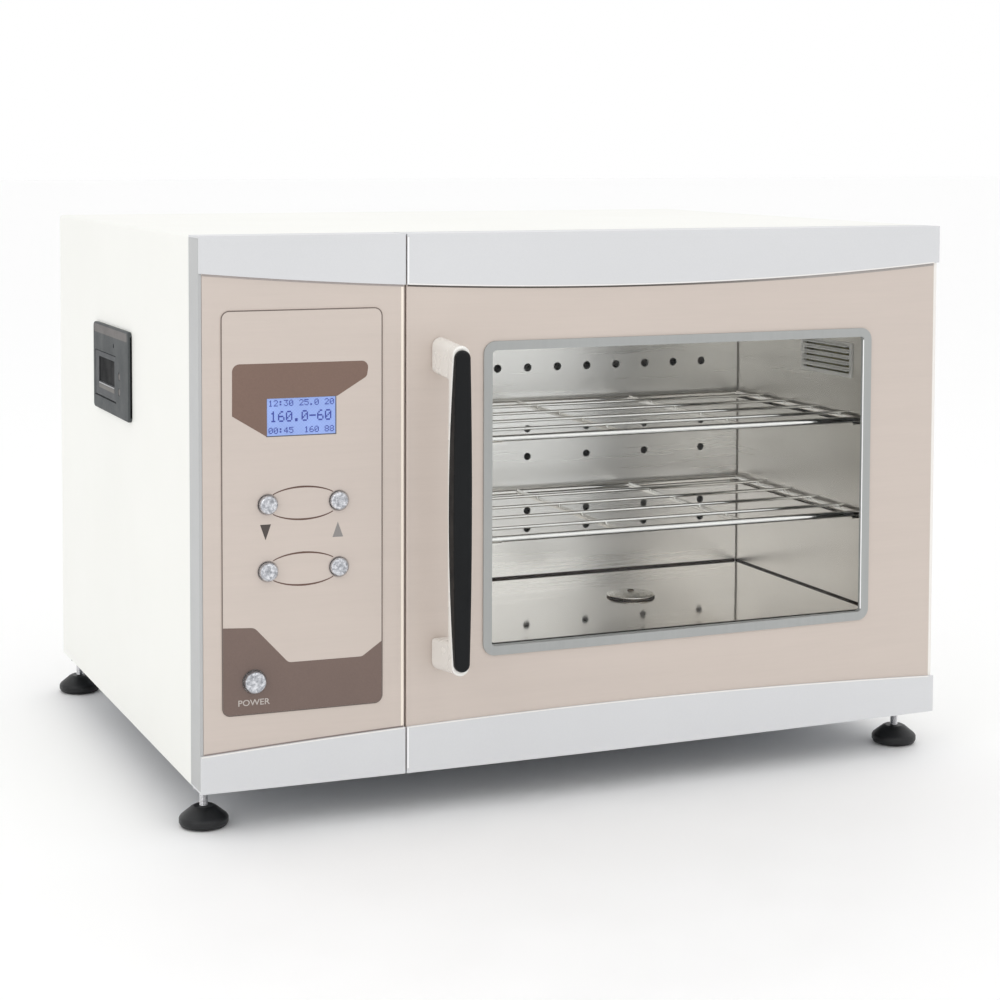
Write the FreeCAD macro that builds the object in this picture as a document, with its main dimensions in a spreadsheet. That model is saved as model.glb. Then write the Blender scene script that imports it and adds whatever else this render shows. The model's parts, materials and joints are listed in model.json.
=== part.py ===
import FreeCAD, Part
import math
import os
import Sketcher
from FreeCAD import Placement, Rotation, Vector

# Bench-top dry heat sterilizer: a sheet-metal cabinet on four levelling feet, a bowed front
# with a control fascia on the left and a glazed door hinged on its right edge, a fan-stirred
# stainless chamber with two wire shelves, and a strip printer in the left side.
#
# Case frame used by every sketch: X from the left case side, Y from the plane through the two
# ends of the bowed front (positive to the rear), Z from the case bottom. Each sub-part's
# Placement carries it to the part frame, whose origin is under the middle of the whole object.

doc = FreeCAD.newDocument("DryHeatSterilizer")
sheet = doc.addObject("Spreadsheet::Sheet", "Params")


class Q:
    """A length that knows both its value and the spreadsheet expression it comes from."""

    def __init__(self, text, value):
        self.t = text
        self.v = float(value)

    def __add__(self, o):
        o = q(o)
        return Q("(%s + %s)" % (self.t, o.t), self.v + o.v)

    def __radd__(self, o):
        return q(o) + self

    def __sub__(self, o):
        o = q(o)
        return Q("(%s - %s)" % (self.t, o.t), self.v - o.v)

    def __rsub__(self, o):
        return q(o) - self

    def __mul__(self, o):
        o = q(o)
        return Q("(%s * %s)" % (self.t, o.t), self.v * o.v)

    def __rmul__(self, o):
        return q(o) * self

    def __truediv__(self, o):
        o = q(o)
        return Q("(%s / %s)" % (self.t, o.t), self.v / o.v)

    def __neg__(self):
        return Q("(0 - %s)" % self.t, -self.v)


def q(value):
    return value if isinstance(value, Q) else Q("%.6g" % value, value)


class Table:
    """Driving dimensions, one spreadsheet row each."""

    row = 1


P = Table()


def dim(alias, value, note):
    sheet.set("A%d" % Table.row, note)
    sheet.set("B%d" % Table.row, "%.6g" % value)
    sheet.setAlias("B%d" % Table.row, alias)
    Table.row += 1
    setattr(P, alias, Q("Params." + alias, value))


# ---- case ---------------------------------------------------------------------------------
dim("shift_x", -292.5, "case frame to part frame, along X")
dim("shift_y", -204.9, "case frame to part frame, along Y")
dim("foot_height", 32.4, "case bottom above the bench")
dim("case_width", 585, "outside width of the case")
dim("case_height", 378, "outside height of the case")
dim("case_depth", 452.5, "front chord to the rear edge of the case")
dim("front_depth", 26.5, "depth of the fascia and the door")
dim("wall", 1.5, "sheet thickness of the case")
dim("bend_radius", 3, "outside bend radius of the case")
dim("bow_radius", 8558.1, "plan radius of the bowed front")
dim("bow_centre_y", 8553.1, "Y of the centre of the bow")
dim("band_skin", 1.5, "thickness of the silver bands")
dim("top_arc_radius", 3384, "radius of the lower edge of the top band")
dim("top_arc_low", 338.8, "lowest height of the top band's edge")
dim("bottom_arc_radius", 5005, "radius of the upper edge of the bottom band")
dim("bottom_arc_high", 35.6, "highest height of the bottom band's edge")
dim("arc_centre_x", 310, "X of the middle of both band arcs")
# ---- fascia and controls -------------------------------------------------------------------
dim("fascia_right", 145.7, "right edge of the control fascia")
dim("fascia_skin", 2.5, "thickness of the control fascia")
dim("trim_strip", 2, "thickness of the side strip")
dim("overlay_left", 14.8, "control overlay, left edge")
dim("overlay_right", 129.2, "control overlay, right edge")
dim("overlay_low", 51.5, "control overlay, lower edge")
dim("overlay_high", 327.8, "control overlay, upper edge")
dim("overlay_skin", 0.6, "thickness of the control overlay")
dim("overlay_corner", 6, "corner radius of the control overlay")
dim("display_left", 46.1, "display window, left edge")
dim("display_right", 95.8, "display window, right edge")
dim("display_low", 241.2, "display window, lower edge")
dim("display_high", 268, "display window, upper edge")
dim("key_left_x", 47, "keys, left column")
dim("key_right_x", 97.4, "keys, right column")
dim("key_upper_z", 195.3, "keys, upper row")
dim("key_lower_z", 149.4, "keys, lower row")
dim("key_radius", 6.5, "radius of a key cap")
dim("key_front", -5.6, "front of a key cap")
dim("power_x", 37.3, "power key, X")
dim("power_z", 74.4, "power key, height")
dim("power_radius", 7.6, "radius of the power key")
dim("cap_gap", 0.3, "gap around each key")
dim("flange_front", 3, "front of the flange that keeps a key in")
dim("board_y", 15, "front of the control board")
# ---- chamber --------------------------------------------------------------------------------
dim("chamber_left", 223, "chamber, left wall")
dim("chamber_width", 320, "chamber, inside width")
dim("chamber_floor", 79, "chamber, floor")
dim("chamber_height", 229, "chamber, inside height")
dim("chamber_front", 28, "chamber, front edge")
dim("chamber_rear", 285, "chamber, inside of the rear wall")
dim("liner", 1.5, "sheet thickness of the chamber")
dim("baffle_y", 240, "front of the perforated back wall")
dim("baffle_skin", 1.2, "thickness of the perforated back wall")
dim("air_hole", 3.4, "radius of the air holes")
dim("air_pitch", 27.1, "pitch of the top row of air holes")
dim("air_first_x", 263.1, "first air hole of the top row")
dim("air_column_x", 290.2, "first column of the lower rows")
dim("air_top_z", 254.6, "top row of air holes")
dim("air_row_b", 203.4, "second row of air holes")
dim("air_row_c", 180.2, "third row of air holes")
dim("air_row_d", 134.7, "fourth row of air holes")
dim("air_row_e", 119.7, "fifth row of air holes")
dim("vent_x", 390, "floor vent, X")
dim("vent_y", 137, "floor vent, Y")
dim("vent_radius", 19, "radius of the floor vent disc")
dim("louvre_front", 55, "louvre, front edge")
dim("louvre_low", 256.5, "louvre, lower edge")
dim("louvre_length", 78, "louvre, length")
dim("louvre_height", 27.5, "louvre, height")
dim("jacket_left", 196, "insulation, left face")
dim("jacket_low", 52, "insulation, underside")
dim("jacket_width", 375, "insulation, width")
dim("jacket_height", 284, "insulation, height")
dim("jacket_front", 30, "insulation, front face")
dim("jacket_rear", 312, "insulation, rear face")
dim("fan_x", 383, "fan axis, X")
dim("fan_z", 193.5, "fan axis, height")
dim("shaft_radius", 4, "radius of the fan shaft")
dim("wheel_radius", 52, "radius of the fan wheel")
dim("running_gap", 0.05, "radial running clearance")
dim("element_radius", 72, "radius of the heating element ring")
dim("element_tube", 4, "radius of the heating element tube")
dim("element_y", 258, "heating element ring, Y")
dim("tail_x", 19, "heating element tails, each side of the fan axis")
dim("tail_drop", 69.4, "heating element tails, below the fan axis")
dim("motor_radius", 40, "radius of the fan motor")
dim("motor_front", 330, "front of the fan motor")
dim("motor_length", 62, "length of the fan motor")
dim("post_reach", 38, "motor posts, from the fan axis")
dim("probe_x", 500, "temperature probe, X")
dim("probe_z", 292, "temperature probe, height")
dim("probe_radius", 2.5, "radius of the temperature probe")
dim("cutout_y", 150, "safety thermostat, Y")
dim("cutout_z", 190, "safety thermostat, height")
# ---- shelves --------------------------------------------------------------------------------
dim("shelf_left", 229, "shelf, left wire")
dim("shelf_pitch", 102.667, "shelf, pitch of the cross wires")
dim("shelf_front", 36, "shelf, front wire")
dim("shelf_depth", 195, "shelf, front wire to rear wire")
dim("mesh_first", 26, "shelf, front wire to the first thin wire")
dim("mesh_pitch", 43, "shelf, pitch of the thin wires")
dim("lower_shelf_z", 152.8, "lower shelf, height of its frame")
dim("upper_shelf_z", 226.5, "upper shelf, height of its frame")
dim("frame_wire", 2, "radius of the frame wires")
dim("front_wire", 2.4, "radius of the front wire")
dim("thin_wire", 1.3, "radius of the thin wires")
dim("runner_width", 12, "width of a shelf runner")
dim("runner_skin", 1.2, "thickness of a shelf runner")
# ---- door -----------------------------------------------------------------------------------
dim("door_left", 146.8, "door, left edge")
dim("door_right", 580.9, "door panel, right edge")
dim("door_skin", 1.4, "thickness of the door panel")
dim("door_back", 24, "rear face of the door")
dim("hinge_x", 575, "door hinge axis, X")
dim("hinge_y", 10, "door hinge axis, Y")
dim("pin_radius", 3, "radius of the hinge pins")
dim("arm_half", 4.2, "half width of a hinge arm")
dim("sash_left", 204.2, "window trim, left edge")
dim("sash_right", 523.8, "window trim, right edge")
dim("sash_low", 77.7, "window trim, lower edge")
dim("sash_high", 301.5, "window trim, upper edge")
dim("sash_face", 6.5, "width of the window trim")
dim("sash_lip", 3, "lip of the window trim on the door panel")
dim("sash_corner", 9, "corner radius of the window trim")
dim("pane_left", 200, "door panes, left edge")
dim("pane_low", 66, "door panes, lower edge")
dim("pane_width", 348, "door panes, width")
dim("pane_height", 244, "door panes, height")
dim("pane_front", 2.4, "front of the outer pane")
dim("pane_thick", 4, "thickness of a pane")
dim("spacer_depth", 11.8, "depth of the spacer frame between the panes")
dim("spacer_face", 6, "width of the spacer frame")
dim("pan_left", 149, "door inner pan, left edge")
dim("pan_low", 6, "door inner pan, lower edge")
dim("pan_width", 431.6, "door inner pan, width")
dim("pan_height", 366, "door inner pan, height")
dim("pan_front", 4.5, "front edge of the inner pan's rim")
dim("pan_skin", 1.5, "thickness of the inner pan")
# ---- handle ---------------------------------------------------------------------------------
dim("handle_x", 171.5, "handle, X")
dim("handle_post", 6.2, "half width of a handle post")
dim("handle_foot", -2.8, "rear end of the handle posts")
dim("bar_back", -35.2, "rear face of the handle bar")
dim("bar_front", -44, "front face of the handle bar, at its ends")
dim("bar_scoop", 7, "depth of the grip's seat at the middle of the bar")
dim("bar_low", 75.2, "lower end of the handle bar")
dim("bar_high", 303, "upper end of the handle bar")
dim("grip_front", -48, "front of the handle grip")
dim("post_height", 22.6, "height of the lower handle post")
dim("high_post", 24.4, "height of the upper handle post")
dim("low_post_z", 71.3, "underside of the lower handle post")
dim("high_post_z", 281.4, "underside of the upper handle post")
# ---- feet -----------------------------------------------------------------------------------
dim("foot_x", 11.5, "feet, from the side of the case")
dim("foot_front", 36.5, "front feet, Y")
dim("foot_rear", 440.6, "rear feet, Y")
dim("pad_radius", 17.2, "radius of a foot pad")
dim("pad_height", 14.2, "height of a foot pad")
dim("pad_neck", 7.2, "radius of the top of a foot pad")
dim("stud_radius", 3, "radius of a foot stud")
dim("stud_low", 5, "lower end of a foot stud, above the bench")
dim("stud_length", 41, "length of a foot stud")
dim("nut_height", 6, "height of a lock nut")
dim("nut_corner", 7.5, "corner radius of a lock nut")
# ---- printer --------------------------------------------------------------------------------
dim("printer_front", 192, "printer bezel, front edge")
dim("printer_length", 119, "printer bezel, length")
dim("printer_low", 230, "printer bezel, lower edge")
dim("printer_height", 68, "printer bezel, height")
dim("printer_proud", 3, "printer bezel, height above the case side")
dim("cover_front", 233.5, "printer cover, front edge")
dim("cover_length", 69.5, "printer cover, length")
dim("cover_low", 241.3, "printer cover, lower edge")
dim("cover_height", 34.7, "printer cover, height")
dim("cover_axis_x", -1.8, "printer cover hinge, X")
dim("cover_axis_z", 242.6, "printer cover hinge, height")
dim("roll_x", 27, "paper roll axis, X")
dim("roll_z", 262, "paper roll axis, height")
dim("roll_radius", 19.5, "radius of the paper roll")
dim("spindle_radius", 5.9, "radius of the paper spindle")
# ---- rear -----------------------------------------------------------------------------------
dim("rear_y", 449.5, "front of the rear panel")
dim("inlet_x", 60, "mains inlet, X")
dim("inlet_z", 64, "mains inlet, height")
doc.recompute()

PARTS = []
COUNT = {"n": 0}


def uname(stem):
    COUNT["n"] += 1
    return "%s_%d" % (stem, COUNT["n"])


def bind(obj, prop, value):
    value = q(value)
    obj.setExpression(prop, value.t)


def place(obj, x=0.0, y=0.0, z=0.0, on_bench=False):
    """Carry a sub-part from the case frame to the part frame."""
    px, py = P.shift_x + x, P.shift_y + y
    pz = q(z) if on_bench else P.foot_height + z
    obj.Placement = Placement(Vector(px.v, py.v, pz.v), Rotation())
    bind(obj, "Placement.Base.x", px)
    bind(obj, "Placement.Base.y", py)
    bind(obj, "Placement.Base.z", pz)


def finish(obj, label, **where):
    obj.Label = label
    place(obj, **where)
    PARTS.append(obj)
    return obj


# ---- PartDesign helpers ---------------------------------------------------------------------
NORMAL = {"XY": 1.0, "XZ": -1.0, "YZ": 1.0}


def new_body(label, **where):
    body = doc.addObject("PartDesign::Body", label)
    return finish(body, label, **where)


class Sk:
    """A constrained sketch on one of the body's own origin planes, at a distance along its axis."""

    def __init__(self, body, role, at):
        at = q(at)
        self.role = role
        self.at = at
        self.s = body.newObject("Sketcher::SketchObject", uname("Sketch"))
        for f in body.Origin.OriginFeatures:
            if f.Role == role + "_Plane":
                self.s.AttachmentSupport = [(f, "")]
        self.s.MapMode = "FlatFace"
        off = at if NORMAL[role] > 0 else -at
        self.s.AttachmentOffset = Placement(Vector(0, 0, off.v), Rotation())
        bind(self.s, "AttachmentOffset.Base.z", off)

    def geo(self, g):
        return self.s.addGeometry(g, False)

    def con(self, kind, *args):
        if isinstance(args[-1], Q):
            i = self.s.addConstraint(Sketcher.Constraint(kind, *(args[:-1] + (args[-1].v,))))
            name = "d%d" % i
            self.s.renameConstraint(i, name)
            self.s.setExpression("Constraints." + name, args[-1].t)
        else:
            self.s.addConstraint(Sketcher.Constraint(kind, *args))

    def point(self, g, end, x, y):
        x, y = q(x), q(y)
        if abs(x.v) < 1e-9 and x.t == "0":
            self.con("PointOnObject", g, end, -2)
        else:
            self.con("DistanceX", -1, 1, g, end, x)
        if abs(y.v) < 1e-9 and y.t == "0":
            self.con("PointOnObject", g, end, -1)
        else:
            self.con("DistanceY", -1, 1, g, end, y)

    def poly(self, pts):
        """Closed polygon; every corner is placed by two dimensions."""
        pts = [(q(x), q(y)) for x, y in pts]
        ids = []
        for i in range(len(pts)):
            a, b = pts[i], pts[(i + 1) % len(pts)]
            ids.append(self.geo(Part.LineSegment(Vector(a[0].v, a[1].v, 0), Vector(b[0].v, b[1].v, 0))))
        for i in range(len(ids)):
            self.con("Coincident", ids[i], 2, ids[(i + 1) % len(ids)], 1)
        for i in range(len(ids)):
            self.point(ids[i], 1, pts[i][0], pts[i][1])
        return self

    def rect(self, x, y, w, h):
        x, y, w, h = q(x), q(y), q(w), q(h)
        c = [(x.v, y.v), (x.v + w.v, y.v), (x.v + w.v, y.v + h.v), (x.v, y.v + h.v)]
        ids = []
        for i in range(4):
            a, b = c[i], c[(i + 1) % 4]
            ids.append(self.geo(Part.LineSegment(Vector(a[0], a[1], 0), Vector(b[0], b[1], 0))))
        for i in range(4):
            self.con("Coincident", ids[i], 2, ids[(i + 1) % 4], 1)
        self.con("Horizontal", ids[0])
        self.con("Horizontal", ids[2])
        self.con("Vertical", ids[1])
        self.con("Vertical", ids[3])
        self.con("DistanceX", ids[0], 1, ids[0], 2, w)
        self.con("DistanceY", ids[1], 1, ids[1], 2, h)
        self.point(ids[0], 1, x, y)
        return self

    def circle(self, x, y, r):
        x, y, r = q(x), q(y), q(r)
        g = self.geo(Part.Circle(Vector(x.v, y.v, 0), Vector(0, 0, 1), r.v))
        self.con("Radius", g, r)
        if x.t == "0" and y.t == "0":
            self.con("Coincident", g, 3, -1, 1)
        else:
            self.point(g, 3, x, y)
        return self

    def arc_through(self, centre, radius, a, b):
        """Arc from angle a to angle b; returns its id."""
        c = Part.Circle(Vector(centre[0].v, centre[1].v, 0), Vector(0, 0, 1), radius.v)
        return self.geo(Part.ArcOfCircle(c, a, b))

    def bow(self, x0, x1, d0, back=None, d1=None):
        """Plan section of a bowed plate: front arc d0 behind the bow, rear arc d1 behind it or a straight back."""
        x0, x1, d0 = q(x0), q(x1), q(d0)
        xc, yc = P.case_width / 2, P.bow_centre_y
        r0 = P.bow_radius - d0

        def ang(x, r):
            return -math.acos((x - xc.v) / r)

        g0 = self.arc_through((xc, yc), r0, ang(x0.v, r0.v), ang(x1.v, r0.v))
        self.con("Radius", g0, r0)
        self.point(g0, 3, xc, yc)
        self.con("DistanceX", -1, 1, g0, 1, x0)
        self.con("DistanceX", -1, 1, g0, 2, x1)

        def ypt(x, r):
            return yc.v - math.sqrt(r * r - (x - xc.v) ** 2)

        a0 = Vector(x0.v, ypt(x0.v, r0.v), 0)
        a1 = Vector(x1.v, ypt(x1.v, r0.v), 0)
        if back is None:
            d1 = q(d1)
            r1 = P.bow_radius - d1
            g1 = self.arc_through((xc, yc), r1, ang(x0.v, r1.v), ang(x1.v, r1.v))
            b0 = Vector(x0.v, ypt(x0.v, r1.v), 0)
            b1 = Vector(x1.v, ypt(x1.v, r1.v), 0)
            left = self.geo(Part.LineSegment(a0, b0))
            right = self.geo(Part.LineSegment(a1, b1))
            self.con("Radius", g1, r1)
            self.con("Coincident", g1, 3, g0, 3)
            self.con("Coincident", left, 1, g0, 1)
            self.con("Coincident", left, 2, g1, 1)
            self.con("Coincident", right, 1, g0, 2)
            self.con("Coincident", right, 2, g1, 2)
            self.con("Vertical", left)
            self.con("Vertical", right)
        else:
            back = q(back)
            left = self.geo(Part.LineSegment(a0, Vector(x0.v, back.v, 0)))
            rear = self.geo(Part.LineSegment(Vector(x0.v, back.v, 0), Vector(x1.v, back.v, 0)))
            right = self.geo(Part.LineSegment(Vector(x1.v, back.v, 0), a1))
            self.con("Coincident", left, 1, g0, 1)
            self.con("Coincident", left, 2, rear, 1)
            self.con("Coincident", rear, 2, right, 1)
            self.con("Coincident", right, 2, g0, 2)
            self.con("Vertical", left)
            self.con("Vertical", right)
            self.con("Horizontal", rear)
            self.con("DistanceY", -1, 1, rear, 1, back)
        return self

    def lens(self, xc, zlow, zhigh, half_end, half_mid, end_r):
        """Upright outline with bulging sides and rounded ends."""
        xc, zlow, zhigh = q(xc), q(zlow), q(zhigh)
        half_end, half_mid, end_r = q(half_end), q(half_mid), q(end_r)
        z0, z1 = zlow.v + end_r.v, zhigh.v - end_r.v
        h = (z1 - z0) / 2
        b = half_mid.v - half_end.v
        r = (h * h + b * b) / (2 * b)
        zm = (z0 + z1) / 2
        ang = math.asin(h / r)
        rq = q(round(r, 4))
        cr = Vector(xc.v + half_mid.v - r, zm, 0)
        cl = Vector(xc.v - half_mid.v + r, zm, 0)
        right = self.geo(Part.ArcOfCircle(Part.Circle(cr, Vector(0, 0, 1), r), -ang, ang))
        left = self.geo(Part.ArcOfCircle(Part.Circle(cl, Vector(0, 0, 1), r), math.pi - ang, math.pi + ang))
        top = self.geo(Part.Arc(Vector(xc.v + half_end.v, z1, 0), Vector(xc.v, zhigh.v, 0), Vector(xc.v - half_end.v, z1, 0)))
        low = self.geo(Part.Arc(Vector(xc.v - half_end.v, z0, 0), Vector(xc.v, zlow.v, 0), Vector(xc.v + half_end.v, z0, 0)))
        self.con("Coincident", right, 2, top, 1)
        self.con("Coincident", top, 2, left, 1)
        self.con("Coincident", left, 2, low, 1)
        self.con("Coincident", low, 2, right, 1)
        self.con("Radius", right, rq)
        self.con("Equal", right, left)
        self.point(top, 1, xc + half_end, zhigh - end_r)
        self.point(left, 1, xc - half_end, zhigh - end_r)
        self.point(low, 1, xc - half_end, zlow + end_r)
        self.point(right, 1, xc + half_end, zlow + end_r)
        rt = (half_end.v ** 2 + end_r.v ** 2) / (2 * end_r.v)
        self.con("Radius", top, q(round(rt, 4)))
        self.con("Equal", top, low)
        return self

    def tongue(self, xc, flat, crest, half):
        """Upright outline with a straight end at flat and a half round end at crest."""
        xc, flat, crest, half = q(xc), q(flat), q(crest), q(half)
        up = 1 if crest.v > flat.v else -1
        zc = crest - half if up > 0 else crest + half
        g = self.arc_through((xc, zc), half, 0 if up > 0 else math.pi, math.pi if up > 0 else 2 * math.pi)
        e0, e1 = Vector(xc.v + up * half.v, zc.v, 0), Vector(xc.v - up * half.v, zc.v, 0)
        a = self.geo(Part.LineSegment(e1, Vector(e1.x, flat.v, 0)))
        end = self.geo(Part.LineSegment(Vector(e1.x, flat.v, 0), Vector(e0.x, flat.v, 0)))
        c = self.geo(Part.LineSegment(Vector(e0.x, flat.v, 0), e0))
        self.con("Radius", g, half)
        self.point(g, 3, xc, zc)
        self.con("Horizontal", g, 1, g, 3)
        self.con("Horizontal", g, 3, g, 2)
        self.con("Coincident", g, 2, a, 1)
        self.con("Coincident", a, 2, end, 1)
        self.con("Coincident", end, 2, c, 1)
        self.con("Coincident", c, 2, g, 1)
        self.con("Vertical", a)
        self.con("Vertical", c)
        self.con("Horizontal", end)
        self.con("DistanceY", -1, 1, end, 1, flat)
        return self

    def seat(self, z0, z1, y_end, y_mid, far):
        """Side area between the arc of the grip's seat, from z0 to z1, and an upright line at far."""
        z0, z1, y_end, y_mid, far = q(z0), q(z1), q(y_end), q(y_mid), q(far)
        h, b = (z1.v - z0.v) / 2, y_mid.v - y_end.v
        r = (h * h + b * b) / (2 * b)
        g = self.geo(Part.Arc(Vector(y_end.v, z0.v, 0), Vector(y_mid.v, (z0.v + z1.v) / 2, 0),
                              Vector(y_end.v, z1.v, 0)))
        high = self.geo(Part.LineSegment(Vector(y_end.v, z1.v, 0), Vector(far.v, z1.v, 0)))
        side = self.geo(Part.LineSegment(Vector(far.v, z1.v, 0), Vector(far.v, z0.v, 0)))
        low = self.geo(Part.LineSegment(Vector(far.v, z0.v, 0), Vector(y_end.v, z0.v, 0)))
        self.con("Coincident", g, 2, high, 1)
        self.con("Coincident", high, 2, side, 1)
        self.con("Coincident", side, 2, low, 1)
        self.con("Coincident", low, 2, g, 1)
        self.con("Radius", g, q(round(r, 4)))
        self.con("Horizontal", high)
        self.con("Horizontal", low)
        self.con("Vertical", side)
        self.point(g, 1, y_end, z0)
        self.con("DistanceY", g, 1, g, 2, z1 - z0)
        self.con("DistanceX", -1, 1, side, 1, far)
        self.con("Vertical", g, 1, g, 2)
        return self

    def under_arc(self, x0, x1, crest, radius, sign, base):
        """Area between a shallow arc (sign +1 sags, -1 crowns) and a level line at base."""
        x0, x1, crest, base, radius = q(x0), q(x1), q(crest), q(base), q(radius)
        xc = P.arc_centre_x
        zc = crest + radius if sign > 0 else crest - radius
        r = radius.v

        def zat(x):
            return zc.v - sign * math.sqrt(r * r - (x - xc.v) ** 2)

        if sign > 0:
            a, b = -math.acos((x0.v - xc.v) / r), -math.acos((x1.v - xc.v) / r)
            g = self.arc_through((xc, zc), radius, a, b)
            s, e = 1, 2
        else:
            a, b = math.acos((x1.v - xc.v) / r), math.acos((x0.v - xc.v) / r)
            g = self.arc_through((xc, zc), radius, a, b)
            s, e = 2, 1
        self.con("Radius", g, radius)
        self.point(g, 3, xc, zc)
        self.con("DistanceX", -1, 1, g, s, x0)
        self.con("DistanceX", -1, 1, g, e, x1)
        left = self.geo(Part.LineSegment(Vector(x0.v, zat(x0.v), 0), Vector(x0.v, base.v, 0)))
        flat = self.geo(Part.LineSegment(Vector(x0.v, base.v, 0), Vector(x1.v, base.v, 0)))
        right = self.geo(Part.LineSegment(Vector(x1.v, base.v, 0), Vector(x1.v, zat(x1.v), 0)))
        self.con("Coincident", left, 1, g, s)
        self.con("Coincident", left, 2, flat, 1)
        self.con("Coincident", flat, 2, right, 1)
        self.con("Coincident", right, 2, g, e)
        self.con("Vertical", left)
        self.con("Vertical", right)
        self.con("Horizontal", flat)
        self.con("DistanceY", -1, 1, flat, 1, base)
        return self


def volume(body):
    return body.Tip.Shape.Volume if body.Tip is not None else 0.0


def solid(body, sk, to):
    """Pad a sketch from its plane to a coordinate on the same axis."""
    to = q(to)
    before = volume(body)
    length = to - sk.at if to.v > sk.at.v else sk.at - to
    f = body.newObject("PartDesign::Pad", uname("Pad"))
    f.Profile = sk.s
    f.Length = length.v
    bind(f, "Length", length)
    f.Reversed = (to.v > sk.at.v) != (NORMAL[sk.role] > 0)
    body.Tip = f
    doc.recompute()
    if volume(body) <= before + 1e-6:
        raise ValueError("%s: pad adds nothing" % body.Label)
    return f


def lean(f, run, rise):
    """Tilt a pad of an XZ sketch so that it climbs by rise over run along Y."""
    run, rise = q(run), q(rise)
    f.UseCustomVector = True
    f.AlongSketchNormal = True
    f.Direction = Vector(0, run.v, rise.v)
    bind(f, "Direction.y", run)
    bind(f, "Direction.z", rise)
    f.Reversed = False
    doc.recompute()
    return f


def cut(body, sk, to):
    """Pocket a sketch from its plane to a coordinate on the same axis."""
    to = q(to)
    before = volume(body)
    length = to - sk.at if to.v > sk.at.v else sk.at - to
    f = body.newObject("PartDesign::Pocket", uname("Pocket"))
    f.Profile = sk.s
    f.Length = length.v
    bind(f, "Length", length)
    f.Reversed = (to.v > sk.at.v) == (NORMAL[sk.role] > 0)
    body.Tip = f
    doc.recompute()
    if volume(body) >= before - 1e-6:
        raise ValueError("%s: pocket cuts nothing" % body.Label)
    return f


def linear(body, feats, sk, axis, length, count):
    f = body.newObject("PartDesign::LinearPattern", uname("LinearPattern"))
    f.Originals = feats
    f.Direction = (sk.s, [axis])
    length = q(length)
    f.Length = abs(length.v)
    bind(f, "Length", length)
    f.Occurrences = count
    before = volume(body)
    body.Tip = f
    doc.recompute()
    if abs(volume(body) - before) < 1e-6:
        raise ValueError("%s: pattern adds nothing" % body.Label)
    return f


def polar(body, feats, sk, count):
    f = body.newObject("PartDesign::PolarPattern", uname("PolarPattern"))
    f.Originals = feats
    f.Axis = (sk.s, ["N_Axis"])
    f.Angle = 360
    f.Occurrences = count
    before = volume(body)
    body.Tip = f
    doc.recompute()
    if abs(volume(body) - before) < 1e-6:
        raise ValueError("%s: pattern adds nothing" % body.Label)
    return f


def near(x=None, y=None, z=None, tol=0.05, along=None):
    """Edge test: every end of the edge lies at the given coordinates."""

    def test(e):
        if along is not None:
            if len(e.Vertexes) < 2:
                return False
            d = e.Vertexes[-1].Point - e.Vertexes[0].Point
            if abs(d[along]) < 0.8 * d.Length or d.Length < 1e-6:
                return False
        for v in e.Vertexes:
            for want, got in ((x, v.X), (y, v.Y), (z, v.Z)):
                if want is not None and abs(q(want).v - got) > tol:
                    return False
        return True

    return test


def fillet(body, tests, radius, kind="PartDesign::Fillet"):
    names = []
    shape = body.Tip.Shape
    for i, e in enumerate(shape.Edges):
        if any(t(e) for t in tests):
            names.append("Edge%d" % (i + 1))
    if not names:
        raise ValueError("%s: no edge to round" % body.Label)
    base = body.Tip
    f = body.newObject(kind, uname("Fillet" if kind.endswith("Fillet") else "Chamfer"))
    f.Base = (base, names)
    radius = q(radius)
    if kind.endswith("Fillet"):
        f.Radius = radius.v
        bind(f, "Radius", radius)
    else:
        f.Size = radius.v
        bind(f, "Size", radius)
    body.Tip = f
    doc.recompute()
    if "Invalid" in f.State or "Error" in f.State or f.Shape.isNull():
        raise ValueError("%s: rounding failed" % body.Label)
    return f


def corners(x0, x1, z0, z1, y=None):
    """The four edges along Y at the corners of an upright rectangle."""
    return [near(x=a, z=b, along=1) for a in (x0, x1) for b in (z0, z1)]


# ---- Part helpers -----------------------------------------------------------------------------
def box(x, y, z, w, d, h):
    b = doc.addObject("Part::Box", uname("Box"))
    for prop, val in (("Length", w), ("Width", d), ("Height", h)):
        bind(b, prop, val)
    for prop, val in (("x", x), ("y", y), ("z", z)):
        bind(b, "Placement.Base." + prop, val)
    return b


ALONG = {"x": Rotation(Vector(0, 1, 0), 90), "y": Rotation(Vector(1, 0, 0), -90), "z": Rotation()}


def rod(axis, x, y, z, r, length):
    c = doc.addObject("Part::Cylinder", uname("Rod"))
    c.Placement = Placement(Vector(q(x).v, q(y).v, q(z).v), ALONG[axis])
    bind(c, "Radius", r)
    bind(c, "Height", length)
    for prop, val in (("x", x), ("y", y), ("z", z)):
        bind(c, "Placement.Base." + prop, val)
    return c


def union(items):
    f = doc.addObject("Part::MultiFuse", uname("Union"))
    f.Shapes = items
    return f


def minus(a, b):
    f = doc.addObject("Part::Cut", uname("Difference"))
    f.Base = a
    f.Tool = b
    return f


def group(items):
    f = doc.addObject("Part::Compound", uname("Group"))
    f.Links = items
    return f


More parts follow.
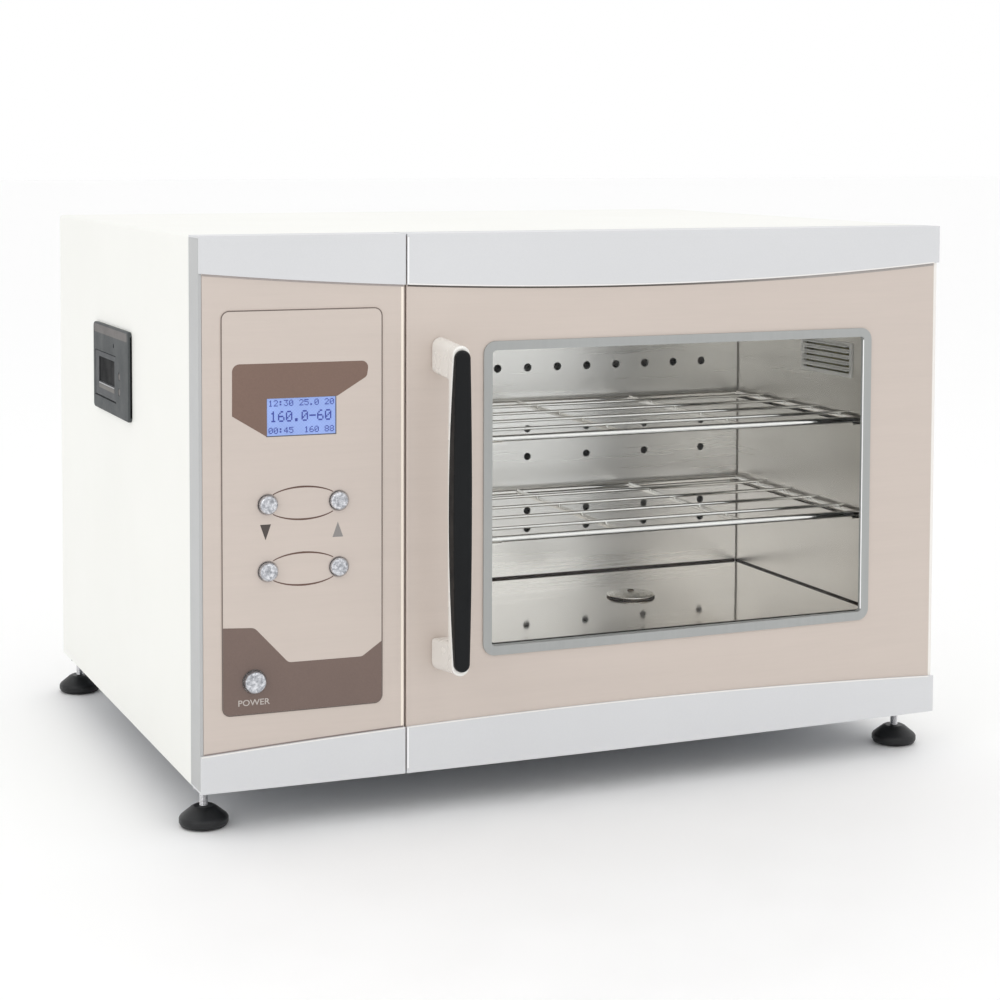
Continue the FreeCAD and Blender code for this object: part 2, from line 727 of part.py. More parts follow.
# ==== cabinet ==================================================================================
# Base pan: a tray with an upturned rim, four foot holes and a field of cooling slots.
b = new_body("base_pan")
pan_y, pan_d = P.chamber_front + 2.3, P.rear_y - P.chamber_front - 2.6
solid(b, Sk(b, "XY", 0).rect(2, pan_y, P.case_width - 4, pan_d), P.wall)
solid(b, Sk(b, "XY", P.wall).rect(2, pan_y, P.case_width - 4, pan_d)
      .rect(2 + P.wall, pan_y + P.wall, P.case_width - 4 - 2 * P.wall, pan_d - 2 * P.wall), 16)
s = Sk(b, "XY", 3)
for fx in (P.foot_x, P.case_width - P.foot_x):
    for fy in (P.foot_front, P.foot_rear):
        s.circle(fx, fy, P.stud_radius + 0.4)
cut(b, s, -1)
s = Sk(b, "XY", 3).rect(36, 130, 5, 70)
linear(b, [cut(b, s, -1)], s, "H_Axis", 110, 11)
s = Sk(b, "XY", 3).rect(330, 130, 5, 70)
linear(b, [cut(b, s, -1)], s, "H_Axis", 110, 11)
s = Sk(b, "XZ", P.rear_y - 5)
for sx in (12, 292.5, 573):
    s.circle(sx, 12, 1.8)
cut(b, s, P.rear_y)

# Outer wrap: left side, top and right side bent from one sheet, with the printer opening.
b = new_body("outer_wrap")
solid(b, Sk(b, "XZ", P.front_depth).rect(0, 0, P.case_width, P.case_height), P.case_depth)
cut(b, Sk(b, "XZ", P.front_depth - 1).rect(P.wall, -1, P.case_width - 2 * P.wall, P.case_height - P.wall + 1),
    P.case_depth + 1)
fillet(b, [near(x=0, z=P.case_height), near(x=P.case_width, z=P.case_height)], P.bend_radius)
fillet(b, [near(x=P.wall, z=P.case_height - P.wall), near(x=P.case_width - P.wall, z=P.case_height - P.wall)],
       P.bend_radius - P.wall)
cut(b, Sk(b, "YZ", -1).rect(P.printer_front + 3.5, P.printer_low + 3.5, P.printer_length - 7, P.printer_height - 7), 3)

# Rear panel: set into the back of the wrap, with the inlet opening, motor vents and screw holes.
b = new_body("rear_panel")
solid(b, Sk(b, "XZ", P.rear_y).rect(1.7, 1.7, P.case_width - 3.4, P.case_height - 3.4), P.rear_y + P.wall)
cut(b, Sk(b, "XZ", P.rear_y - 1).rect(P.inlet_x - 14, P.inlet_z - 23, 28, 46), P.rear_y + 3)
s = Sk(b, "XZ", P.rear_y - 1).rect(P.fan_x - 67.5, P.fan_z - 30, 5, 60)
linear(b, [cut(b, s, P.rear_y + 3)], s, "H_Axis", 130, 11)
s = Sk(b, "XZ", P.rear_y - 1).rect(40, 255, 5, 60)
linear(b, [cut(b, s, P.rear_y + 3)], s, "H_Axis", 110, 11)
SCREWS = [(12, 12), (292.5, 12), (573, 12), (12, 189), (573, 189), (12, 366), (292.5, 366), (573, 366)]
s = Sk(b, "XZ", P.rear_y - 1)
for sx, sz in SCREWS:
    s.circle(sx, sz, 1.7)
cut(b, s, P.rear_y + 3)

# Front frame: the plate behind the door and the fascia, open at the chamber mouth and the control bay.
b = new_body("front_frame")
solid(b, Sk(b, "XZ", P.front_depth).rect(1.8, 1.8, P.case_width - 3.6, P.case_height - 3.6), P.front_depth + P.wall)
s = Sk(b, "XZ", P.front_depth - 1)
s.rect(P.chamber_left, P.chamber_floor, P.chamber_width, P.chamber_height)
s.rect(14, 40, 118, 300)
for lift in (2.2, P.case_height - 5.8):
    s.rect(P.hinge_x - P.arm_half - 0.4, lift, 2 * P.arm_half + 0.8, 3.6)
cut(b, s, P.front_depth + 4)
fillet(b, corners(P.chamber_left, P.chamber_left + P.chamber_width, P.chamber_floor,
                  P.chamber_floor + P.chamber_height), 2.5)

# Control fascia: a bowed plastic shell with a deep return on each side.
b = new_body("fascia_panel")
f_left = P.trim_strip + 0.2
f_low, f_high = q(2), P.case_height - 2
solid(b, Sk(b, "XY", f_low).bow(f_left, P.fascia_right, P.band_skin, d1=P.band_skin + P.fascia_skin), f_high)
solid(b, Sk(b, "XY", f_low).bow(f_left, f_left + 2, P.band_skin, back=P.front_depth - 0.2), f_high)
solid(b, Sk(b, "XY", f_low).bow(P.fascia_right - 2, P.fascia_right, P.band_skin, back=P.front_depth - 0.2), f_high)
fillet(b, [near(x=P.fascia_right, y=-2.2, tol=0.5, along=2)], 1.2)
s = Sk(b, "XZ", -8)
s.rect(P.display_left, P.display_low, P.display_right - P.display_left, P.display_high - P.display_low)
for kx in (P.key_left_x, P.key_right_x):
    for kz in (P.key_upper_z, P.key_lower_z):
        s.circle(kx, kz, P.key_radius + P.cap_gap)
s.circle(P.power_x, P.power_z, P.power_radius + P.cap_gap)
cut(b, s, 6)

# Silver bands above and below the fascia and the door: a bowed skin with a level flange.
BANDS = (("fascia", q(0), P.fascia_right, P.front_depth - 0.2), ("door", P.door_left, P.case_width, P.door_back + 0.2))
for stem, x0, x1, back in BANDS:
    b = new_body(stem + "_top_band")
    solid(b, Sk(b, "XY", P.case_height - 48).bow(x0, x1, 0, d1=P.band_skin), P.case_height)
    solid(b, Sk(b, "XY", P.case_height - P.wall).bow(x0, x1, P.band_skin - 0.3, back=back), P.case_height)
    cut(b, Sk(b, "XZ", -12).under_arc(x0 - 6, x1 + 6, P.top_arc_low, P.top_arc_radius, 1, P.case_height - 55), 5)
    if stem == "door":
        fillet(b, [near(x=x1, y=back, along=2)], 6)
    b = new_body(stem + "_bottom_band")
    solid(b, Sk(b, "XY", 0).bow(x0, x1, 0, d1=P.band_skin), 42)
    solid(b, Sk(b, "XY", 0).bow(x0, x1, P.band_skin - 0.3, back=back), P.wall)
    cut(b, Sk(b, "XZ", -12).under_arc(x0 - 6, x1 + 6, P.bottom_arc_high, P.bottom_arc_radius, -1, 50), 5)
    if stem == "door":
        fillet(b, [near(x=x1, y=back, along=2)], 6)

# Side strip: the grey edge of the fascia seen on the left of the case.
b = new_body("fascia_side_trim")
solid(b, Sk(b, "XY", 1.6).rect(0, P.band_skin + 0.05, P.trim_strip, P.front_depth - P.band_skin - 0.25),
      P.case_height - 1.6)
fillet(b, [near(x=0, y=P.band_skin + 0.05, along=2)], 1.4)

# Control overlay and display window.
b = new_body("control_overlay")
o_w, o_h = P.overlay_right - P.overlay_left, P.overlay_high - P.overlay_low
solid(b, Sk(b, "XY", P.overlay_low).bow(P.overlay_left, P.overlay_right, P.band_skin - P.overlay_skin,
                                        d1=P.band_skin), P.overlay_high)
fillet(b, corners(P.overlay_left, P.overlay_right, P.overlay_low, P.overlay_high), P.overlay_corner)
s = Sk(b, "XZ", -8)
s.rect(P.display_left, P.display_low, P.display_right - P.display_left, P.display_high - P.display_low)
for kx in (P.key_left_x, P.key_right_x):
    for kz in (P.key_upper_z, P.key_lower_z):
        s.circle(kx, kz, P.key_radius + P.cap_gap)
s.circle(P.power_x, P.power_z, P.power_radius + P.cap_gap)
cut(b, s, 6)

b = new_body("lcd_window")
solid(b, Sk(b, "XY", P.display_low + 0.15).bow(P.display_left + 0.15, P.display_right - 0.15, P.band_skin - 0.3,
                                               d1=P.band_skin + 2), P.display_high - 0.15)

# Control board: board, display module, a switch behind each key, and corner posts.
items = [box(20, P.board_y, 56, 104, 1.6, 262), box(42, 7, 236, 58, P.board_y - 6.5, 36)]
for kx in (P.key_left_x, P.key_right_x):
    for kz in (P.key_upper_z, P.key_lower_z):
        items.append(box(kx - 5, 11.4, kz - 5, 10, P.board_y - 11, 10))
items.append(box(P.power_x - 7, 11.4, P.power_z - 7, 14, P.board_y - 11, 14))
for cx in (26, 118):
    for cz in (62, 312):
        items.append(rod("y", cx, 6, cz, 3, P.board_y - 5.5))
finish(union(items), "control_board")

# Power board: transformer, relays and a finned heat sink on posts above the base pan.
items = [box(90, 330, 24, 96, 100, 2), box(95, 338, 25.5, 46, 50, 42), box(95, 396, 25.5, 20, 28, 18),
         box(120, 396, 25.5, 20, 28, 18), box(150, 338, 25.5, 32, 84, 8)]
for i in range(5):
    items.append(box(150 + 7.3 * i, 338, 33, 2.8, 84, 28))
for cx in (96, 180):
    for cy in (334, 426):
        items.append(rod("z", cx, cy, P.wall, 3, 24 - P.wall + 0.5))
finish(union(items), "power_board")

# ==== chamber ==================================================================================
c_right = P.chamber_left + P.chamber_width
c_top = P.chamber_floor + P.chamber_height
TAILS = [(P.fan_x + side * P.tail_x, P.fan_z - P.tail_drop) for side in (-1, 1)]
POSTS = [(P.fan_x + i * P.post_reach, P.fan_z + j * P.post_reach) for i in (-1, 1) for j in (-1, 1)]

b = new_body("chamber_shell")
solid(b, Sk(b, "XZ", P.chamber_front).rect(P.chamber_left - P.liner, P.chamber_floor - P.liner,
                                           P.chamber_width + 2 * P.liner, P.chamber_height + 2 * P.liner),
      P.chamber_rear + P.liner)
cut(b, Sk(b, "XZ", P.chamber_front - 1).rect(P.chamber_left, P.chamber_floor, P.chamber_width, P.chamber_height),
    P.chamber_rear)
s = Sk(b, "XZ", P.chamber_rear - 1)
s.circle(P.fan_x, P.fan_z, 8)
for tx, tz in TAILS:
    s.circle(tx, tz, P.element_tube + 1.5)
s.circle(P.probe_x, P.probe_z, P.probe_radius + 0.5)
cut(b, s, P.chamber_rear + 4)
cut(b, Sk(b, "YZ", c_right - 1).rect(P.louvre_front + 5, P.louvre_low + 3, P.louvre_length - 10, P.louvre_height - 6),
    c_right + 4)
s = Sk(b, "XY", P.chamber_floor + 1).circle(P.vent_x, P.vent_y, 6.5)
cut(b, s, P.chamber_floor - 4)

# Perforated back wall: one close row of air holes at the top and four wider-spaced rows below.
b = new_body("chamber_back_wall")
solid(b, Sk(b, "XZ", P.baffle_y).rect(P.chamber_left + 0.3, P.chamber_floor + 0.3, P.chamber_width - 0.6,
                                      P.chamber_height - 0.6), P.baffle_y + P.baffle_skin)
s = Sk(b, "XZ", P.baffle_y - 1).circle(P.air_first_x, P.air_top_z, P.air_hole)
linear(b, [cut(b, s, P.baffle_y + 4)], s, "H_Axis", 9 * P.air_pitch, 10)
s = Sk(b, "XZ", P.baffle_y - 1)
for row in (P.air_row_b, P.air_row_c, P.air_row_d, P.air_row_e):
    s.circle(P.air_column_x, row, P.air_hole - 0.3)
linear(b, [cut(b, s, P.baffle_y + 4)], s, "H_Axis", 8 * P.air_pitch, 5)
cut(b, Sk(b, "XZ", P.baffle_y - 1).circle(P.probe_x, P.probe_z, P.probe_radius + 0.3), P.baffle_y + 4)

# Floor vent: a domed disc on a hollow stem, held by one screw.
b = new_body("floor_vent_disc", x=P.vent_x, y=P.vent_y, z=P.chamber_floor)
s = Sk(b, "XZ", 0)
s.poly([(0, 2.4), (3, 2.4), (3, 0.05), (6, 0.05), (6, 2.4), (P.vent_radius - 1.5, 2.4), (P.vent_radius, 3),
        (P.vent_radius - 0.4, 4), (P.vent_radius - 5, 4.4), (3.4, 4.5), (3, 5.6), (0, 6)])
f = b.newObject("PartDesign::Revolution", "VentTurn")
f.Profile = s.s
f.ReferenceAxis = (s.s, ["V_Axis"])
f.Angle = 360
b.Tip = f
doc.recompute()

# Louvre: a plate on the right wall with five hooded slots.
b = new_body("side_louvre")
solid(b, Sk(b, "YZ", c_right).rect(P.louvre_front, P.louvre_low, P.louvre_length, P.louvre_height), c_right - 1)
s = Sk(b, "YZ", c_right + 1).rect(P.louvre_front + 4, P.louvre_low + 3, P.louvre_length - 8, 2.2)
slot = cut(b, s, c_right - 3)
linear(b, [slot], s, "V_Axis", 19, 5)
s = Sk(b, "YZ", c_right - 0.9).rect(P.louvre_front + 4, P.louvre_low + 5.1, P.louvre_length - 8, 1)
hood = solid(b, s, c_right - 3.4)
linear(b, [hood], s, "V_Axis", 19, 5)

# Shelf runners: four angle strips on the side walls.
runners = []
for level in (P.lower_shelf_z, P.upper_shelf_z):
    low = level - P.front_wire - 0.1 - P.runner_skin
    for side in (0, 1):
        if side:
            ledge = box(c_right - P.runner_width, 34, low, P.runner_width, 202, P.runner_skin)
            leg = box(c_right - P.runner_skin, 34, low, P.runner_skin, 202, 9)
        else:
            ledge = box(P.chamber_left, 34, low, P.runner_width, 202, P.runner_skin)
            leg = box(P.chamber_left, 34, low, P.runner_skin, 202, 9)
        runners.append(union([ledge, leg]))
finish(group(runners), "shelf_runners")

# Door gasket: a ring of silicone around the chamber mouth.
b = new_body("door_gasket")
s = Sk(b, "XZ", P.front_depth)
s.rect(P.chamber_left - 14, P.chamber_floor - 14, P.chamber_width + 28, P.chamber_height + 28)
solid(b, s, P.door_back + 0.35)
cut(b, Sk(b, "XZ", P.front_depth + 1).rect(P.chamber_left - 6, P.chamber_floor - 6, P.chamber_width + 12,
                                           P.chamber_height + 12), P.door_back - 1)
fillet(b, corners(P.chamber_left - 14, c_right + 14, P.chamber_floor - 14, c_top + 14), 12)
fillet(b, corners(P.chamber_left - 6, c_right + 6, P.chamber_floor - 6, c_top + 6), 5)
fillet(b, [near(y=P.door_back + 0.35)], 0.9)

# Insulation: mineral wool around the sides and rear of the chamber.
b = new_body("insulation_jacket")
solid(b, Sk(b, "XZ", P.jacket_front).rect(P.jacket_left, P.jacket_low, P.jacket_width, P.jacket_height), P.jacket_rear)
cut(b, Sk(b, "XZ", P.jacket_front - 1).rect(P.chamber_left - P.liner - 0.3, P.chamber_floor - P.liner - 0.3,
                                            P.chamber_width + 2 * P.liner + 0.6, P.chamber_height + 2 * P.liner + 0.6),
    P.chamber_rear + P.liner + 0.5)
s = Sk(b, "XZ", P.chamber_rear - 1)
s.circle(P.fan_x, P.fan_z, 10)
for tx, tz in TAILS:
    s.circle(tx, tz, P.element_tube + 3)
for tx, tz in POSTS:
    s.circle(tx, tz, 5.5)
s.circle(P.probe_x, P.probe_z, P.probe_radius + 1.5)
cut(b, s, P.jacket_rear + 2)
cut(b, Sk(b, "YZ", P.jacket_left - 1).circle(P.cutout_y, P.cutout_z, 12), P.chamber_left)
cut(b, Sk(b, "YZ", c_right).rect(P.louvre_front - 2, P.louvre_low - 2, P.louvre_length + 4, P.louvre_height + 4),
    c_right + 12)

# Heating element: an open ring of tube around the fan, with two tails to the rear.
ring = doc.addObject("Part::Torus", uname("Ring"))
ring.Placement = Placement(Vector(0, 0, 0), ALONG["y"])
bind(ring, "Radius1", P.element_radius)
bind(ring, "Radius2", P.element_tube)
for prop, val in (("x", P.fan_x), ("y", P.element_y), ("z", P.fan_z)):
    bind(ring, "Placement.Base." + prop, val)
items = [ring]
for tx, tz in TAILS:
    items.append(rod("y", tx, P.element_y, tz, P.element_tube, 66))
gap = box(P.fan_x - P.tail_x + P.element_tube, P.element_y - 6, P.fan_z - P.element_radius - 8,
          2 * (P.tail_x - P.element_tube), 12, 20)
finish(minus(union(items), gap), "heating_element")

# Fan motor: can, mounting plate, four posts to the chamber, bored for the shaft.
items = [rod("y", P.fan_x, P.motor_front, P.fan_z, P.motor_radius, P.motor_length),
         rod("y", P.fan_x, P.motor_front + P.motor_length - 0.5, P.fan_z, 12, 8),
         box(P.fan_x - 46, P.motor_front - 3, P.fan_z - 46, 92, 3.5, 92)]
for tx, tz in POSTS:
    items.append(rod("y", tx, P.chamber_rear + P.liner, tz, 4, P.motor_front - P.chamber_rear - P.liner - 2))
bore = rod("y", P.fan_x, P.motor_front - 5, P.fan_z, P.shaft_radius + P.running_gap, 47)
finish(minus(union(items), bore), "fan_motor")

# Fan wheel: hub, back disc and ten blades, turned and pressed on its shaft.
b = new_body("fan_wheel", x=P.fan_x, z=P.fan_z)
solid(b, Sk(b, "XZ", 246).circle(0, 0, P.shaft_radius), 370)
solid(b, Sk(b, "XZ", 249).circle(0, 0, 10), 272)
solid(b, Sk(b, "XZ", 269).circle(0, 0, P.wheel_radius), 270.2)
s = Sk(b, "XZ", 251).rect(-0.7, 16, 1.4, P.wheel_radius - 17)
blade = solid(b, s, 269.6)
polar(b, [blade], s, 10)

# Temperature probe and over-temperature thermostat.
items = [rod("y", P.probe_x, 226, P.probe_z, P.probe_radius, 92), rod("y", P.probe_x, P.jacket_rear + 0.3, P.probe_z, 6, 14)]
finish(union(items), "temperature_probe")
items = [rod("x", P.chamber_left - P.liner - 10.3, P.cutout_y, P.cutout_z, 8, 10),
         rod("x", P.chamber_left - P.liner - 15, P.cutout_y, P.cutout_z, 5.5, 5),
         box(P.chamber_left - P.liner - 21, P.cutout_y - 4, P.cutout_z - 3, 7, 0.8, 6),
         box(P.chamber_left - P.liner - 21, P.cutout_y + 3.2, P.cutout_z - 3, 7, 0.8, 6)]
finish(union(items), "safety_thermostat")

# Mains inlet: flange, shrouded socket with three pins, and a fuse drawer below it.
b = new_body("power_inlet")
yr = P.rear_y + P.wall
solid(b, Sk(b, "XZ", yr).rect(P.inlet_x - 16.5, P.inlet_z - 26, 33, 52), yr + 3)
solid(b, Sk(b, "XZ", yr + 0.5).rect(P.inlet_x - 13.6, P.inlet_z - 22.6, 27.2, 45.2), yr - 24)
fillet(b, [near(y=yr + 3)], 1)
cut(b, Sk(b, "XZ", yr + 4).rect(P.inlet_x - 12.1, P.inlet_z + 2, 24.2, 16.2), yr - 13)
s = Sk(b, "XZ", yr - 13.5)
s.rect(P.inlet_x - 8, P.inlet_z + 6.6, 2, 4)
s.rect(P.inlet_x + 6, P.inlet_z + 6.6, 2, 4)
s.rect(P.inlet_x - 1, P.inlet_z + 10.6, 2, 4)
solid(b, s, yr - 3.5)
cut(b, Sk(b, "XZ", yr + 4).rect(P.inlet_x - 11, P.inlet_z - 18, 22, 1), yr + 1)
cut(b, Sk(b, "XZ", yr + 4).rect(P.inlet_x - 11, P.inlet_z - 6, 22, 1), yr + 1)

# Hinge brackets: an arm through the front frame that carries a vertical pin, one at each end.
brackets = []
for top in (0, 1):
    if top:
        arm_z, pin_z, foot_z = P.case_height - 5, P.case_height - 18, P.case_height - 16
    else:
        arm_z, pin_z, foot_z = q(2.6), q(4.5), q(2.6)
    items = [box(P.hinge_x - P.arm_half, P.hinge_y, arm_z, 2 * P.arm_half, 20, 2.4),
             rod("z", P.hinge_x, P.hinge_y, arm_z, P.arm_half, 2.4),
             rod("z", P.hinge_x, P.hinge_y, pin_z, P.pin_radius, 13.5),
             box(P.hinge_x - 12, P.chamber_front, foot_z, 19, 2, 13.4)]
    brackets.append(union(items))
finish(group(brackets), "hinge_brackets")

# Lock nuts under the base pan, one on each foot stud.
nuts = []
for fx in (P.foot_x, P.case_width - P.foot_x):
    for fy in (P.foot_front, P.foot_rear):
        n = doc.addObject("Part::Prism", uname("Nut"))
        n.Polygon = 6
        bind(n, "Circumradius", P.nut_corner)
        bind(n, "Height", P.nut_height)
        bind(n, "Placement.Base.x", fx)
        bind(n, "Placement.Base.y", fy)
        bind(n, "Placement.Base.z", -P.nut_height)
        nuts.append(minus(n, rod("z", fx, fy, -P.nut_height - 1, P.stud_radius + P.running_gap, P.nut_height + 2)))
finish(group(nuts), "foot_nuts")

# Rear panel screws.
screws = []
for sx, sz in SCREWS:
    screws.append(union([rod("y", sx, P.rear_y - 4.5, sz, 1.5, 6.5), rod("y", sx, P.rear_y + P.wall, sz, 3.5, 1.6),
                         rod("y", sx, P.rear_y + P.wall + 1.5, sz, 2.4, 0.7)]))
finish(group(screws), "case_screws")

# Door catch magnets on the front frame.
magnets = []
for mz in (95, 255):
    magnets.append(minus(box(153, P.door_back + 0.4, mz, 13, P.front_depth - P.door_back - 0.4, 36),
                         box(157.5, P.door_back, mz - 1, 4, 1.2, 38)))
finish(group(magnets), "catch_magnets")

# ==== strip printer in the left side ============================================================
p_front, p_low = P.printer_front, P.printer_low
p_rear, p_high = P.printer_front + P.printer_length, P.printer_low + P.printer_height
b = new_body("printer_bezel")
solid(b, Sk(b, "YZ", 0).rect(p_front, p_low, P.printer_length, P.printer_height), -P.printer_proud)
fillet(b, [near(y=a, z=c, along=0) for a in (p_front, p_rear) for c in (p_low, p_high)], 4)
fillet(b, [near(x=-P.printer_proud)], 1.2)
cut(b, Sk(b, "YZ", -P.printer_proud - 1).rect(P.cover_front - 0.5, P.cover_low - 0.6, P.cover_length + 1,
                                              P.cover_height + 1.1), 1)
cut(b, Sk(b, "XZ", P.cover_front - 2.5).circle(P.cover_axis_x, P.cover_axis_z, 0.7 + P.running_gap),
    P.cover_front + P.cover_length + 2.5)
s = Sk(b, "YZ", -P.printer_proud - 1)
s.circle(240, 284, 1.6)
s.circle(222, 262, 3.2)
s.circle(222, 250, 3.2)
cut(b, s, -P.printer_proud + 0.8)

b = new_body("printer_body")
solid(b, Sk(b, "YZ", 0.3).rect(p_front + 5, p_low + 5, P.printer_length - 10, P.printer_height - 10), 54)
cut(b, Sk(b, "YZ", -1).rect(236.5, p_low + 7, 65.5, P.printer_height - 14), 52)
cut(b, Sk(b, "YZ", -1).rect(p_front + 7, p_low + 7, 33, P.printer_height - 14), 50)
solid(b, Sk(b, "XZ", 236).circle(P.roll_x, P.roll_z, P.spindle_radius), 297)

b = new_body("printer_cover")
solid(b, Sk(b, "YZ", -0.7).rect(P.cover_front, P.cover_low, P.cover_length, P.cover_height), -2.9)
fillet(b, [near(x=-2.9, z=P.cover_low + P.cover_height), near(x=-2.9, y=P.cover_front, along=2),
           near(x=-2.9, y=P.cover_front + P.cover_length, along=2)], 0.6)
cut(b, Sk(b, "YZ", -4).rect(P.cover_front + 4, 252, 54, 20), -2.1)
solid(b, Sk(b, "XZ", P.cover_front + 1).circle(P.cover_axis_x, P.cover_axis_z, 0.7), P.cover_front - 2)
solid(b, Sk(b, "XZ", P.cover_front + P.cover_length - 1).circle(P.cover_axis_x, P.cover_axis_z, 0.7),
      P.cover_front + P.cover_length + 2)

b = new_body("paper_roll", x=P.roll_x, z=P.roll_z)
solid(b, Sk(b, "XZ", 238).circle(0, 0, P.roll_radius).circle(0, 0, P.spindle_radius + 0.4), 295)

# ==== door ======================================================================================
b = new_body("door_panel")
solid(b, Sk(b, "XY", f_low).bow(P.door_left, P.door_right, P.band_skin, d1=P.band_skin + P.door_skin), f_high)
solid(b, Sk(b, "XY", f_low).bow(P.door_left, P.door_left + 1.5, P.band_skin, back=P.door_back), f_high)
fillet(b, [near(x=P.door_left, y=-2.2, tol=0.5, along=2)], 1.1)
s_in = P.sash_lip - 0.3
cut(b, Sk(b, "XZ", -12).rect(P.sash_left + s_in, P.sash_low + s_in, P.sash_right - P.sash_left - 2 * s_in,
                             P.sash_high - P.sash_low - 2 * s_in), 8)
fillet(b, corners(P.sash_left + s_in, P.sash_right - s_in, P.sash_low + s_in, P.sash_high - s_in), 6.5)
s = Sk(b, "XZ", -12)
s.circle(P.handle_x, P.low_post_z + P.post_height / 2, 2.7)
s.circle(P.handle_x, P.high_post_z + P.post_height / 2, 2.7)
cut(b, s, 8)

b = new_body("door_side_trim")
solid(b, Sk(b, "XY", P.pan_low).rect(P.case_width - 4, P.band_skin + 0.05, 4, P.door_back - P.band_skin - 0.45),
      P.pan_low + P.pan_height)
fillet(b, [near(x=P.case_width, y=P.band_skin + 0.05, along=2), near(x=P.case_width, y=P.door_back - 0.4, along=2)], 3.2)

# Window trim: a bowed ring whose lip lies on the door panel and whose sleeve reaches the outer pane.
b = new_body("window_trim")
solid(b, Sk(b, "XY", P.sash_low).bow(P.sash_left, P.sash_right, 0.2, d1=P.band_skin), P.sash_high)
fillet(b, corners(P.sash_left, P.sash_right, P.sash_low, P.sash_high), P.sash_corner)
solid(b, Sk(b, "XY", P.sash_low + P.sash_lip).bow(P.sash_left + P.sash_lip, P.sash_right - P.sash_lip, 0.6,
                                                  back=P.pane_front - 0.1), P.sash_high - P.sash_lip)
fillet(b, corners(P.sash_left + P.sash_lip, P.sash_right - P.sash_lip, P.sash_low + P.sash_lip,
                  P.sash_high - P.sash_lip), 6)
s_f = P.sash_face
cut(b, Sk(b, "XZ", -12).rect(P.sash_left + s_f, P.sash_low + s_f, P.sash_right - P.sash_left - 2 * s_f,
                             P.sash_high - P.sash_low - 2 * s_f), 8)
fillet(b, corners(P.sash_left + s_f, P.sash_right - s_f, P.sash_low + s_f, P.sash_high - s_f), 3)

# Panes and the spacer frame between them.
y_spacer = P.pane_front + P.pane_thick
y_inner = y_spacer + P.spacer_depth
for label, y0 in (("outer_glass", P.pane_front), ("inner_glass", y_inner)):
    b = new_body(label)
    solid(b, Sk(b, "XZ", y0).rect(P.pane_left, P.pane_low, P.pane_width, P.pane_height), y0 + P.pane_thick)
    fillet(b, corners(P.pane_left, P.pane_left + P.pane_width, P.pane_low, P.pane_low + P.pane_height), 3)
    fillet(b, [near(y=y0), near(y=y0 + P.pane_thick)], 0.4, kind="PartDesign::Chamfer")
b = new_body("glass_spacer")
solid(b, Sk(b, "XZ", y_spacer).rect(P.pane_left, P.pane_low, P.pane_width, P.pane_height), y_inner)
cut(b, Sk(b, "XZ", y_spacer - 1).rect(P.pane_left + P.spacer_face, P.pane_low + P.spacer_face,
                                      P.pane_width - 2 * P.spacer_face, P.pane_height - 2 * P.spacer_face), y_inner + 1)

# Inner pan: the stainless back of the door, with the view opening and the two pivot holes.
b = new_body("door_inner_pan")
pan_r, pan_t = P.pan_left + P.pan_width, P.pan_low + P.pan_height
solid(b, Sk(b, "XZ", P.pan_front).rect(P.pan_left, P.pan_low, P.pan_width, P.pan_height), P.door_back)
cut(b, Sk(b, "XZ", P.pan_front - 1).rect(P.pan_left + P.pan_skin, P.pan_low + P.pan_skin,
                                         P.pan_width - 2 * P.pan_skin, P.pan_height - 2 * P.pan_skin),
    P.door_back - P.pan_skin)
cut(b, Sk(b, "XZ", P.door_back - 4).rect(P.pane_left + P.spacer_face, P.pane_low + P.spacer_face,
                                         P.pane_width - 2 * P.spacer_face, P.pane_height - 2 * P.spacer_face),
    P.door_back + 2)
fillet(b, corners(P.pane_left + P.spacer_face, P.pane_left + P.pane_width - P.spacer_face,
                  P.pane_low + P.spacer_face, P.pane_low + P.pane_height - P.spacer_face), 5)
cut(b, Sk(b, "XY", 0).circle(P.hinge_x, P.hinge_y, P.pin_radius + P.running_gap), P.case_height)
fillet(b, [near(x=P.pan_left, y=P.door_back), near(x=pan_r, y=P.door_back), near(z=P.pan_low, y=P.door_back),
           near(z=pan_t, y=P.door_back)], 1)

# Handle: a silver bow on two posts, a black grip on its front, and two screws from inside the door.
b = new_body("handle_bow")
solid(b, Sk(b, "XZ", P.bar_back).lens(P.handle_x, P.bar_low, P.bar_high, 6.4, 7, 6.8), P.bar_front)
high = P.high_post_z + P.high_post
reach = P.bar_back - P.handle_foot
lean(solid(b, Sk(b, "XZ", P.handle_foot).tongue(P.handle_x, P.low_post_z + P.post_height, P.low_post_z, P.handle_post),
           P.bar_back - 2), reach, P.bar_low - P.low_post_z)
lean(solid(b, Sk(b, "XZ", P.handle_foot).tongue(P.handle_x, P.high_post_z, high, P.handle_post), P.bar_back - 2),
     reach, P.bar_high - high)


def inner_edge(e):
    d = e.Vertexes[-1].Point - e.Vertexes[0].Point
    return (abs(d.y) > 20 and all(abs(abs(v.X - P.handle_x.v) - P.handle_post.v) < 0.05 and
                                  P.low_post_z.v + 15 < v.Z < P.high_post_z.v + 8 for v in e.Vertexes))


fillet(b, [inner_edge], 2.4)
fillet(b, [near(y=P.handle_foot)], 0.6)
fillet(b, [near(y=P.bar_front)], 1.6)
cut(b, Sk(b, "YZ", P.handle_x - 12).seat(P.bar_low + 2, P.bar_high - 2, P.bar_front + 0.2, P.bar_front + P.bar_scoop, -60),
    P.handle_x + 12)
s = Sk(b, "XZ", P.handle_foot + 1)
s.circle(P.handle_x, P.low_post_z + P.post_height / 2, 2.5)
s.circle(P.handle_x, P.high_post_z + P.post_height / 2, 2.5)
cut(b, s, -20)

